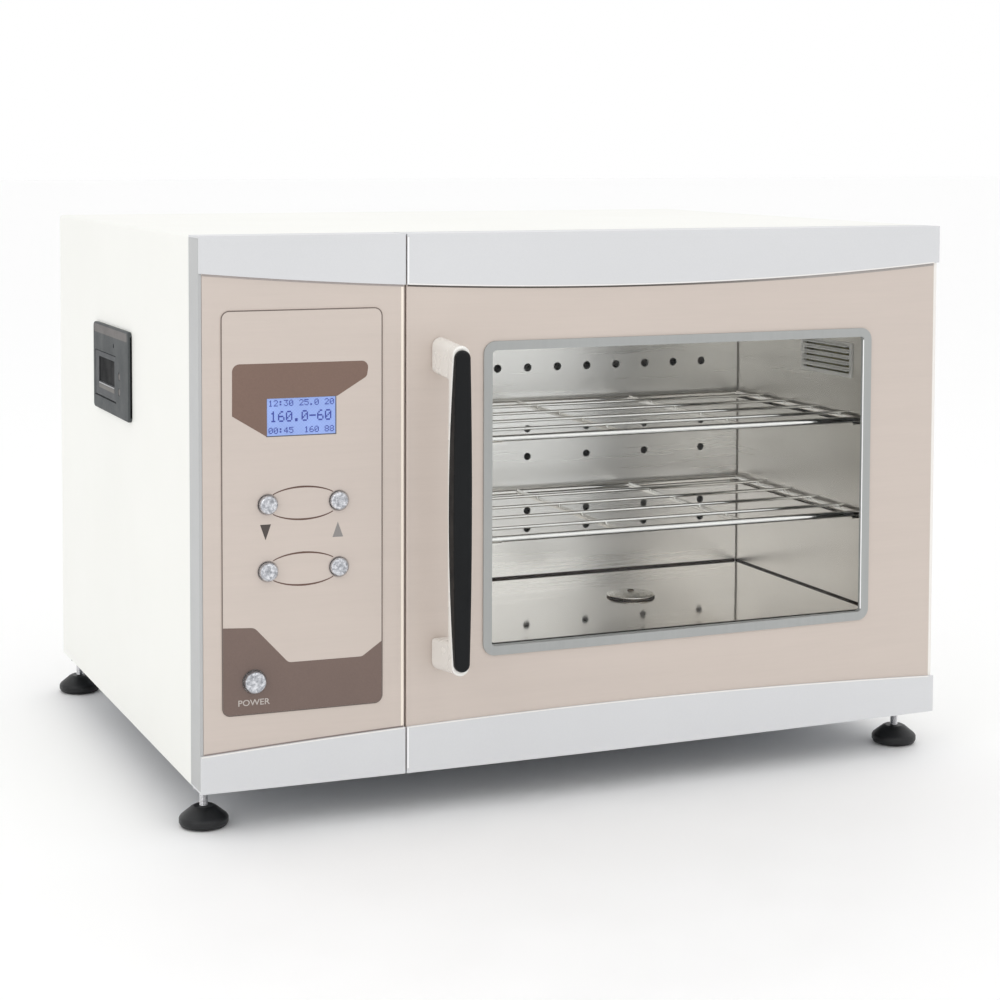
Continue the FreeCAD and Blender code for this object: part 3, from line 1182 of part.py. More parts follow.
b = new_body("handle_grip")
solid(b, Sk(b, "XZ", P.bar_front + 8).lens(P.handle_x, P.bar_low + 3.4, P.bar_high - 3, 5.5, 6.8, 5.7), P.grip_front)
fillet(b, [near(y=P.grip_front)], 2.4)
cut(b, Sk(b, "YZ", P.handle_x - 12).seat(P.bar_low + 2, P.bar_high - 2, P.bar_front + 0.2, P.bar_front + P.bar_scoop, -10),
    P.handle_x + 12)

hs = []
for pz in (P.low_post_z, P.high_post_z):
    zc = pz + P.post_height / 2
    hs.append(union([rod("y", P.handle_x, -18, zc, 2.4, 18.6), rod("y", P.handle_x, 0.3, zc, 4.6, 3.4)]))
finish(group(hs), "handle_screws")

# ==== keys =======================================================================================
KEYS = (("key_upper_left", P.key_left_x, P.key_upper_z), ("key_upper_right", P.key_right_x, P.key_upper_z),
        ("key_lower_left", P.key_left_x, P.key_lower_z), ("key_lower_right", P.key_right_x, P.key_lower_z))
for label, kx, kz in KEYS:
    b = new_body(label, x=kx, z=kz)
    solid(b, Sk(b, "XZ", P.flange_front + 0.5).circle(0, 0, P.key_radius), P.key_front)
    fillet(b, [near(y=P.key_front)], 2.4)
    solid(b, Sk(b, "XZ", P.flange_front).circle(0, 0, P.key_radius + 1.5), P.flange_front + 1.4)
    solid(b, Sk(b, "XZ", P.flange_front + 1).circle(0, 0, 2), 9.9)
b = new_body("power_key", x=P.power_x, z=P.power_z)
solid(b, Sk(b, "XZ", P.flange_front + 0.9).circle(0, 0, P.power_radius), P.key_front)
fillet(b, [near(y=P.key_front)], 2.2)
solid(b, Sk(b, "XZ", P.flange_front + 0.4).circle(0, 0, P.power_radius + 1.5), P.flange_front + 1.8)
solid(b, Sk(b, "XZ", P.flange_front + 1.4).circle(0, 0, 2.5), 9.9)

# ==== feet =======================================================================================
FEET = (("front_left", P.foot_x, P.foot_front), ("front_right", P.case_width - P.foot_x, P.foot_front),
        ("rear_left", P.foot_x, P.foot_rear), ("rear_right", P.case_width - P.foot_x, P.foot_rear))
for label, fx, fy in FEET:
    b = new_body("foot_pad_" + label, x=fx, y=fy, on_bench=True)
    s = Sk(b, "XZ", 0)
    s.poly([(0, 0), (P.pad_radius - 3.6, 0), (P.pad_radius - 1.1, 0.9), (P.pad_radius, 3), (P.pad_radius, 5.8),
            (P.pad_radius - 0.9, 7.3), (P.pad_radius - 4.8, 10.5), (P.pad_neck + 1.9, 13.2), (P.pad_neck, P.pad_height),
            (P.stud_radius, P.pad_height), (P.stud_radius, P.stud_low), (0, P.stud_low)])
    f = b.newObject("PartDesign::Revolution", uname("PadTurn"))
    f.Profile = s.s
    f.ReferenceAxis = (s.s, ["V_Axis"])
    f.Angle = 360
    b.Tip = f
    doc.recompute()
    b = new_body("foot_stud_" + label, x=fx, y=fy, on_bench=True)
    solid(b, Sk(b, "XY", P.stud_low).circle(0, 0, P.stud_radius), P.stud_low + P.stud_length)
    fillet(b, [near(z=P.stud_low + P.stud_length)], 0.8, kind="PartDesign::Chamfer")

# ==== shelves ====================================================================================
for label, level in (("lower_shelf", P.lower_shelf_z), ("upper_shelf", P.upper_shelf_z)):
    items = []
    right = P.shelf_left + 3 * P.shelf_pitch
    rear = P.shelf_front + P.shelf_depth
    for i in range(4):
        items.append(rod("y", P.shelf_left + i * P.shelf_pitch, P.shelf_front, level, P.frame_wire, P.shelf_depth))
    over = P.frame_wire + 0.8
    items.append(rod("x", P.shelf_left - over, P.shelf_front, level, P.front_wire, 3 * P.shelf_pitch + 2 * over))
    items.append(rod("x", P.shelf_left - over, rear, level, P.frame_wire + 0.2, 3 * P.shelf_pitch + 2 * over))
    for i in range(4):
        items.append(rod("x", P.shelf_left - over, P.shelf_front + P.mesh_first + i * P.mesh_pitch,
                         level + P.frame_wire + P.thin_wire - 0.5, P.thin_wire, 3 * P.shelf_pitch + 2 * over))
    finish(union(items), label)

# ==== checks and output ==========================================================================
doc.recompute()
bad = [o.Label for o in doc.Objects if "Invalid" in o.State or "Error" in o.State]
if bad:
    raise ValueError("failed objects: %s" % bad)
seen = set()
for obj in PARTS:
    shape = obj.Shape
    if shape.isNull() or not shape.isValid() or shape.Volume <= 0:
        raise ValueError("bad shape: %s" % obj.Label)
    if obj.Label in seen or len(obj.Label) >= 60:
        raise ValueError("bad label: %s" % obj.Label)
    seen.add(obj.Label)
if len(PARTS) > 60:
    raise ValueError("too many sub-parts: %d" % len(PARTS))
os.makedirs("parts", exist_ok=True)
for obj in PARTS:
    obj.Shape.exportStep("parts/%s.step" % obj.Label)
lo, hi = [1e9] * 3, [-1e9] * 3
for obj in PARTS:
    bb = obj.Shape.BoundBox
    lo = [min(lo[0], bb.XMin), min(lo[1], bb.YMin), min(lo[2], bb.ZMin)]
    hi = [max(hi[0], bb.XMax), max(hi[1], bb.YMax), max(hi[2], bb.ZMax)]
print("sub-parts: %d" % len(PARTS))
print("box low  %.2f %.2f %.2f" % tuple(lo))
print("box high %.2f %.2f %.2f" % tuple(hi))
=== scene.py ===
import bpy
import bmesh
import json
import math
import random
from mathutils import Matrix, Vector


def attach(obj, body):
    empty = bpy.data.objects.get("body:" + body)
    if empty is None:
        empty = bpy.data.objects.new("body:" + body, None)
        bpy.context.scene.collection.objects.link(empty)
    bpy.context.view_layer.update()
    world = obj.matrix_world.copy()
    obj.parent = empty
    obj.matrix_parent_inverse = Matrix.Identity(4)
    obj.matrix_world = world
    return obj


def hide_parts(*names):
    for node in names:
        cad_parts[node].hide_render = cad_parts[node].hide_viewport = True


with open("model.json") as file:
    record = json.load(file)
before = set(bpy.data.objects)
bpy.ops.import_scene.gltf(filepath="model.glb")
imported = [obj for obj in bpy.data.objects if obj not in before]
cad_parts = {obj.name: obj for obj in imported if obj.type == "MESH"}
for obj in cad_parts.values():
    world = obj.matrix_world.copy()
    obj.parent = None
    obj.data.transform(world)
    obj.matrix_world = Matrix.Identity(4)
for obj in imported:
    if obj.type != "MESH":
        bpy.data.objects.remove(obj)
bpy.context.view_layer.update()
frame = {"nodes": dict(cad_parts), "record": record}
random.seed(7)

# Case frame (mm): X from the left case side, Y from the plane through the ends of the bowed front,
# Z from the case bottom. The part frame is that frame moved by SHIFT.
SHIFT = Vector((-292.5, -204.9, 32.4))
BOW_R, BOW_Y, BOW_X = 8558.1, 8553.1, 292.5


def m(x, y, z):
    """Case frame in mm to part frame in metres."""
    return Vector(((x + SHIFT.x) / 1000, (y + SHIFT.y) / 1000, (z + SHIFT.z) / 1000))


def bow(x, depth):
    """Y of the surface that lies depth mm behind the bowed front."""
    r = BOW_R - depth
    return BOW_Y - math.sqrt(r * r - (x - BOW_X) ** 2)


# ---- camera, light, floor ---------------------------------------------------------------------
yaw, pitch, roll = math.radians(22.86), math.radians(3.38), math.radians(0.19)
fwd = Vector((math.sin(yaw) * math.cos(pitch), math.cos(yaw) * math.cos(pitch), -math.sin(pitch)))
right = Vector((math.cos(yaw), -math.sin(yaw), 0))
up = right.cross(fwd)
r2 = right * math.cos(roll) + up * math.sin(roll)
u2 = -right * math.sin(roll) + up * math.cos(roll)
cam_data = bpy.data.cameras.new("camera")
cam = bpy.data.objects.new("camera", cam_data)
bpy.context.scene.collection.objects.link(cam)
pos = m(-382, -1421, 441)
cam.matrix_world = Matrix(((r2.x, u2.x, -fwd.x, pos.x), (r2.y, u2.y, -fwd.y, pos.y), (r2.z, u2.z, -fwd.z, pos.z),
                           (0, 0, 0, 1)))
cam_data.sensor_width = 36
cam_data.sensor_fit = "HORIZONTAL"
cam_data.lens = 36 * 2.192
cam_data.shift_x = 0.001
cam_data.shift_y = -0.228
cam_data.clip_start = 0.05
cam_data.clip_end = 60
bpy.context.scene.camera = cam
bpy.context.scene.view_settings.view_transform = "Standard"
bpy.context.scene.view_settings.look = "None"


def area(name, loc, target, size, power, color=(1, 1, 1), size_y=None, hidden=True):
    data = bpy.data.lights.new(name, "AREA")
    data.energy = power
    data.color = color
    data.size = size
    if size_y:
        data.shape = "RECTANGLE"
        data.size_y = size_y
    ob = bpy.data.objects.new(name, data)
    bpy.context.scene.collection.objects.link(ob)
    ob.location = loc
    ob.rotation_euler = (Vector(target) - Vector(loc)).to_track_quat("-Z", "Y").to_euler()
    if hidden:
        ob.visible_camera = False
    return ob


area("key", (-2.4, -1.6, 2.0), (0, 0, 0.2), 1.4, 6)
area("front", (0.1, -1.5, 1.35), (0, 0, 0.3), 0.8, 1.6)
area("top", (0.0, 0.2, 2.8), (0, 0, 0.3), 2.2, 2)

world = bpy.data.worlds.new("studio")
bpy.context.scene.world = world
world.use_nodes = True
wn = world.node_tree.nodes
wn["Background"].inputs["Color"].default_value = (1.0, 1.0, 1.0, 1)
wn["Background"].inputs["Strength"].default_value = 1.0


# ---- node materials ---------------------------------------------------------------------------
def lin(c):
    """sRGB 0..255 to linear."""
    out = []
    for v in c[:3]:
        v = v / 255
        out.append(v / 12.92 if v <= 0.04045 else ((v + 0.055) / 1.055) ** 2.4)
    return tuple(out) + (1.0,)


class Mat:
    def __init__(self, name):
        self.m = bpy.data.materials.new(name)
        self.m.use_nodes = True
        self.t = self.m.node_tree
        self.b = self.t.nodes["Principled BSDF"]
        self.out = self.t.nodes["Material Output"]
        self.coord = self.t.nodes.new("ShaderNodeTexCoord")
        self.height = None

    def node(self, kind, **props):
        n = self.t.nodes.new(kind)
        for k, v in props.items():
            setattr(n, k, v)
        return n

    def link(self, a, b):
        self.t.links.new(a, b)

    def mapped(self, scale=(1, 1, 1), rot=(0, 0, 0)):
        n = self.node("ShaderNodeMapping")
        n.inputs["Scale"].default_value = scale
        n.inputs["Rotation"].default_value = rot
        self.link(self.coord.outputs["Object"], n.inputs["Vector"])
        return n.outputs["Vector"]

    def noise(self, scale, detail=3, rough=0.5, stretch=(1, 1, 1), rot=(0, 0, 0), distortion=0.0):
        n = self.node("ShaderNodeTexNoise")
        n.inputs["Scale"].default_value = scale
        n.inputs["Detail"].default_value = detail
        n.inputs["Roughness"].default_value = rough
        n.inputs["Distortion"].default_value = distortion
        self.link(self.mapped(stretch, rot), n.inputs["Vector"])
        return n.outputs["Fac"]

    def ramp(self, fac, stops, interp="LINEAR"):
        n = self.node("ShaderNodeValToRGB")
        n.color_ramp.interpolation = interp
        e = n.color_ramp.elements
        while len(e) > 1:
            e.remove(e[-1])
        e[0].position, e[0].color = stops[0][0], stops[0][1]
        for p, c in stops[1:]:
            s = e.new(p)
            s.color = c
        self.link(fac, n.inputs["Fac"])
        return n.outputs["Color"]

    def span(self, fac, lo, hi, a=0.3, b=0.7):
        n = self.node("ShaderNodeMapRange")
        n.inputs["From Min"].default_value = a
        n.inputs["From Max"].default_value = b
        n.inputs["To Min"].default_value = lo
        n.inputs["To Max"].default_value = hi
        self.link(fac, n.inputs["Value"])
        return n.outputs["Result"]

    def mix(self, fac, a, b, mode="MIX"):
        n = self.node("ShaderNodeMix", data_type="RGBA", blend_type=mode)
        for sock, v in ((n.inputs[0], fac), (n.inputs[6], a), (n.inputs[7], b)):
            if isinstance(v, (int, float, tuple)):
                sock.default_value = v
            else:
                self.link(v, sock)
        return n.outputs[2]

    def math(self, op, a, b=None, clamp=False):
        n = self.node("ShaderNodeMath", operation=op, use_clamp=clamp)
        for sock, v in ((n.inputs[0], a), (n.inputs[1], b)):
            if v is None:
                continue
            if isinstance(v, (int, float)):
                sock.default_value = v
            else:
                self.link(v, sock)
        return n.outputs[0]

    def bump(self, height, distance, strength=1.0):
        n = self.node("ShaderNodeBump")
        n.inputs["Strength"].default_value = strength
        n.inputs["Distance"].default_value = distance
        self.link(height, n.inputs["Height"])
        if self.height is not None:
            self.link(self.height, n.inputs["Normal"])
        self.height = n.outputs["Normal"]
        self.link(self.height, self.b.inputs["Normal"])
        return self

    def tone(self, color, spread=0.05, scale=6.0, fine=None):
        """Base colour with a slow cloudy variation and, if asked, a finer grain."""
        c = lin(color)
        lo = tuple(v * (1 - spread) for v in c[:3]) + (1,)
        hi = tuple(min(1, v * (1 + spread)) for v in c[:3]) + (1,)
        col = self.ramp(self.noise(scale, 4, 0.55), [(0.3, lo), (0.7, hi)])
        if fine:
            grain = self.ramp(self.noise(fine, 2, 0.6), [(0.3, (1 - spread, 1 - spread, 1 - spread, 1)), (0.7, (1, 1, 1, 1))])
            col = self.mix(1.0, col, grain, "MULTIPLY")
        self.col = col
        self.link(col, self.b.inputs["Base Color"])
        return self

    def rough(self, lo, hi, scale=30.0, stretch=(1, 1, 1)):
        self.link(self.span(self.noise(scale, 4, 0.6, stretch), lo, hi), self.b.inputs["Roughness"])
        return self

    def set(self, **kw):
        for k, v in kw.items():
            self.b.inputs[k.replace("_", " ")].default_value = v
        return self


def paint(name, color, spread=0.02, lo=0.32, hi=0.42, peel=0.00004, coat=0.0, metallic=0.0):
    """Powder coat or satin paint: faint orange peel, dust and cloudy sheen."""
    a = Mat(name).tone(color, spread, 5.0, 900.0).rough(lo, hi, 14.0)
    a.bump(a.noise(620.0, 2, 0.5), peel)
    a.bump(a.noise(70.0, 2, 0.5), peel * 1.5, 0.4)
    a.set(Metallic=metallic)
    if coat:
        a.set(Coat_Weight=coat, Coat_Roughness=0.18)
    return a.m


def moulded(name, color, spread=0.06, lo=0.42, hi=0.58, grain=0.00006, scale=1400.0, spec=0.5):
    """Moulded plastic: fine spark texture and slight wear."""
    a = Mat(name).tone(color, spread, 18.0, 700.0).rough(lo, hi, 60.0)
    v = a.node("ShaderNodeTexVoronoi")
    v.inputs["Scale"].default_value = scale
    a.link(a.mapped(), v.inputs["Vector"])
    a.bump(v.outputs["Distance"], grain)
    a.set(**{"Specular IOR Level": spec})
    return a.m


def rubber(name, color, lo=0.5, hi=0.72):
    a = Mat(name).tone(color, 0.18, 60.0, 500.0).rough(lo, hi, 90.0)
    a.bump(a.noise(900.0, 3, 0.6), 0.00008)
    a.bump(a.noise(120.0, 3, 0.5), 0.0001, 0.5)
    a.set(**{"Specular IOR Level": 0.42})
    return a.m


def steel(name, color, axis, lo=0.2, hi=0.34, depth=0.00002, spread=0.06, streak=420.0, aniso=0.0, metallic=1.0):
    """Brushed or rolled sheet: long streaks along one axis."""
    s = {"x": (0.02, 1, 1), "y": (1, 0.02, 1), "z": (1, 1, 0.02)}[axis]
    a = Mat(name)
    c = lin(color)
    lo_c = tuple(v * (1 - spread) for v in c[:3]) + (1,)
    hi_c = tuple(min(1, v * (1 + spread)) for v in c[:3]) + (1,)
    n = a.noise(streak, 4, 0.65, s)
    cloud = a.noise(7.0, 3, 0.5)
    col = a.ramp(n, [(0.32, lo_c), (0.68, hi_c)])
    shade = a.ramp(cloud, [(0.3, (0.93, 0.93, 0.93, 1)), (0.7, (1, 1, 1, 1))])
    a.link(a.mix(1.0, col, shade, "MULTIPLY"), a.b.inputs["Base Color"])
    a.link(a.span(n, lo, hi), a.b.inputs["Roughness"])
    a.set(Metallic=metallic)
    if aniso:
        a.set(Anisotropic=aniso)
    a.bump(n, depth)
    return a.m


def chrome(name, color, lo=0.1, hi=0.2, spread=0.05, metallic=1.0):
    a = Mat(name).tone(color, spread, 40.0).rough(lo, hi, 160.0)
    a.set(Metallic=metallic)
    a.bump(a.noise(300.0, 3, 0.5), 0.00001)
    return a.m


def sheet(name, color, axis, lo, hi, wave=0.0006, spread=0.05, fine=700.0, patch=0.05, metallic=1.0, duller=0.0, painted_shade=None):
    """Bright rolled stainless sheet: hair-fine brushing, soft clouds and a slight oil-can waviness.
    Faces that don't look up are rougher by duller. Upright side faces get painted shade: from the first given height
    (case frame, mm) to the second they darken, down to the third value."""
    stretch = {"x": (0.015, 1, 1), "y": (1, 0.015, 1), "z": (1, 1, 0.015)}[axis]
    long = {"x": (0.25, 1, 1), "y": (1, 0.25, 1), "z": (1, 1, 0.25)}[axis]
    a = Mat(name)
    c = lin(color)
    n = a.noise(fine, 4, 0.65, stretch)
    band = a.noise(34.0, 4, 0.55, tuple(v if v == 1 else 0.06 for v in stretch))
    f = a.math("ADD", a.math("MULTIPLY", n, 0.45), a.math("MULTIPLY", band, 0.55))
    col = a.ramp(f, [(0.34, tuple(v * (1 - spread) for v in c[:3]) + (1,)),
                     (0.66, tuple(min(1, v * (1 + spread)) for v in c[:3]) + (1,))])
    shade = a.ramp(a.noise(6.0, 4, 0.6), [(0.3, (1 - patch, 1 - patch, 1 - patch, 1)), (0.7, (1, 1, 1, 1))])
    col = a.mix(1.0, col, shade, "MULTIPLY")
    # Painted shade: upright side walls darken towards the top, with a cloudy edge.
    if painted_shade:
        face = a.node("ShaderNodeSeparateXYZ")
        a.link(a.coord.outputs["Normal"], face.inputs[0])
        place = a.node("ShaderNodeSeparateXYZ")
        a.link(a.coord.outputs["Object"], place.inputs[0])
        height = a.span(place.outputs[2], 0.0, 1.0, (painted_shade[0] + SHIFT.z) / 1000, (painted_shade[1] + SHIFT.z) / 1000)
        cloudy = a.math("ADD", height, a.span(a.noise(9.0, 4, 0.6, long), -0.18, 0.18), True)
        amount = a.math("MULTIPLY", a.span(a.math("ABSOLUTE", face.outputs[0]), 0.0, 1.0, 0.6, 0.9), cloudy)
        t = painted_shade[2]
        col = a.mix(1.0, col, a.ramp(amount, [(0.0, (1, 1, 1, 1)), (1.0, (t, t, t * 0.97, 1))]), "MULTIPLY")
    a.link(col, a.b.inputs["Base Color"])
    rough = a.span(f, lo, hi)
    if duller:
        sep = a.node("ShaderNodeSeparateXYZ")
        a.link(a.coord.outputs["Normal"], sep.inputs[0])
        rough = a.math("ADD", rough, a.span(sep.outputs[2], duller, 0.0, 0.5, 0.9))
    a.link(rough, a.b.inputs["Roughness"])
    a.set(Metallic=metallic)
    a.bump(a.noise(7.0, 2, 0.5, long), wave)
    a.bump(n, 0.0000015)
    return a.m


def mottled(name, dark, mid, light, scale=400.0, metallic=0.85, relief=0.00004):
    """Bright plated cap: painted broken light and dark reflections in the colour, with a fine hammered relief."""
    a = Mat(name)
    n = a.noise(scale, 3, 0.62, distortion=0.8)
    col = a.ramp(n, [(0.34, lin(dark)), (0.5, lin(mid)), (0.64, lin(light))])
    a.link(col, a.b.inputs["Base Color"])
    a.link(a.span(n, 0.36, 0.18), a.b.inputs["Roughness"])
    a.set(Metallic=metallic)
    a.bump(n, relief)
    return a.m


def along_x(name, x0, x1, first, last, lo=0.4, hi=0.55):
    """Dark line along a band's edge whose tone changes along the front, from x0 to x1 in the case frame; under the top
    bands it is painted shadow.
    """
    a = Mat(name)
    sep = a.node("ShaderNodeSeparateXYZ")
    a.link(a.coord.outputs["Object"], sep.inputs[0])
    t = a.span(sep.outputs[0], 0.0, 1.0, (x0 + SHIFT.x) / 1000, (x1 + SHIFT.x) / 1000)
    col = a.ramp(t, [(0.0, lin(first)), (1.0, lin(last))])
    grain = a.ramp(a.noise(300.0, 4, 0.6), [(0.3, (0.9, 0.9, 0.9, 1)), (0.7, (1, 1, 1, 1))])
    a.link(a.mix(1.0, col, grain, "MULTIPLY"), a.b.inputs["Base Color"])
    a.rough(lo, hi, 200.0)
    a.bump(a.noise(900.0, 2, 0.5), 0.00002)
    return a.m


def glass(name, tint, veil, dirt=0.04):
    """Clear pane: transparent with a fresnel gloss, a faint veil and smears."""
    a = Mat(name)
    t = a.t
    t.nodes.remove(a.b)
    clear = a.node("ShaderNodeBsdfTransparent")
    clear.inputs["Color"].default_value = tint
    gloss = a.node("ShaderNodeBsdfGlossy")
    gloss.inputs["Color"].default_value = (1, 1, 1, 1)
    smear = a.noise(9.0, 5, 0.6, (1, 1, 0.4))
    a.link(a.span(smear, 0.03, 0.12), gloss.inputs["Roughness"])
    film = a.node("ShaderNodeBsdfDiffuse")
    film.inputs["Color"].default_value = (0.85, 0.85, 0.84, 1)
    fres = a.node("ShaderNodeFresnel")
    fres.inputs["IOR"].default_value = 1.45
    one = a.node("ShaderNodeMixShader")
    a.link(a.math("MULTIPLY", fres.outputs["Fac"], 0.14), one.inputs[0])
    a.link(clear.outputs[0], one.inputs[1])
    a.link(gloss.outputs[0], one.inputs[2])
    two = a.node("ShaderNodeMixShader")
    a.link(a.span(smear, veil, veil + dirt, 0.35, 0.75), two.inputs[0])
    a.link(one.outputs[0], two.inputs[1])
    a.link(film.outputs[0], two.inputs[2])
    a.link(two.outputs[0], a.out.inputs["Surface"])
    return a.m


def beige(name):
    """Beige finish of the fascia and the door: fine horizontal brushing under satin lacquer."""
    a = Mat(name)
    c = lin((205, 193, 184))
    n = a.noise(500.0, 5, 0.7, (0.03, 1, 1))
    n2 = a.noise(90.0, 3, 0.6, (0.06, 1, 1))
    cloud = a.noise(5.0, 3, 0.5)
    f = a.math("ADD", a.math("MULTIPLY", n, 0.6), a.math("MULTIPLY", n2, 0.4))
    col = a.ramp(f, [(0.34, tuple(v * 0.975 for v in c[:3]) + (1,)), (0.66, tuple(min(1, v * 1.02) for v in c[:3]) + (1,))])
    shade = a.ramp(cloud, [(0.3, (0.975, 0.975, 0.98, 1)), (0.7, (1, 1, 1, 1))])
    a.link(a.mix(1.0, col, shade, "MULTIPLY"), a.b.inputs["Base Color"])
    a.link(a.span(n, 0.34, 0.5), a.b.inputs["Roughness"])
    a.set(Metallic=0.12, Coat_Weight=0.15, Coat_Roughness=0.3)
    a.bump(f, 0.00001)
    return a.m


def glow(name, color, strength, grid=None):
    """Backlit display surface with a faint dot grid."""
    a = Mat(name)
    c = lin(color)
    base = a.ramp(a.noise(30.0, 3, 0.5), [(0.3, tuple(v * 0.9 for v in c[:3]) + (1,)), (0.7, tuple(min(1, v * 1.06) for v in c[:3]) + (1,))])
    if grid:
        ch = a.node("ShaderNodeTexChecker")
        ch.inputs["Scale"].default_value = grid
        ch.inputs["Color1"].default_value = (1, 1, 1, 1)
        ch.inputs["Color2"].default_value = (0.93, 0.93, 0.96, 1)
        a.link(a.mapped(), ch.inputs["Vector"])
        base = a.mix(1.0, base, ch.outputs["Color"], "MULTIPLY")
    a.link(base, a.b.inputs["Base Color"])
    a.link(base, a.b.inputs["Emission Color"])
    a.set(Emission_Strength=strength)
    a.rough(0.15, 0.28, 50.0)
    a.set(Coat_Weight=0.5, Coat_Roughness=0.08)
    return a.m


def wool(name):
    a = Mat(name).tone((196, 186, 140), 0.2, 120.0, 900.0).rough(0.85, 0.98, 60.0)
    a.bump(a.noise(260.0, 6, 0.75, (1, 1, 0.5)), 0.0012)
    a.set(Sheen_Weight=0.3)
    return a.m


def board(name):
    """Green board: traces and mask."""
    a = Mat(name)
    br = a.node("ShaderNodeTexBrick")
    br.inputs["Scale"].default_value = 120.0
    br.inputs["Color1"].default_value = lin((22, 84, 52))
    br.inputs["Color2"].default_value = lin((26, 96, 60))
    br.inputs["Mortar"].default_value = lin((62, 140, 92))
    br.inputs["Mortar Size"].default_value = 0.03
    a.link(a.mapped((1, 1, 1), (math.radians(90), 0, 0)), br.inputs["Vector"])
    a.link(br.outputs["Color"], a.b.inputs["Base Color"])
    a.rough(0.25, 0.4, 80.0)
    a.bump(br.outputs["Fac"], 0.00004)
    return a.m


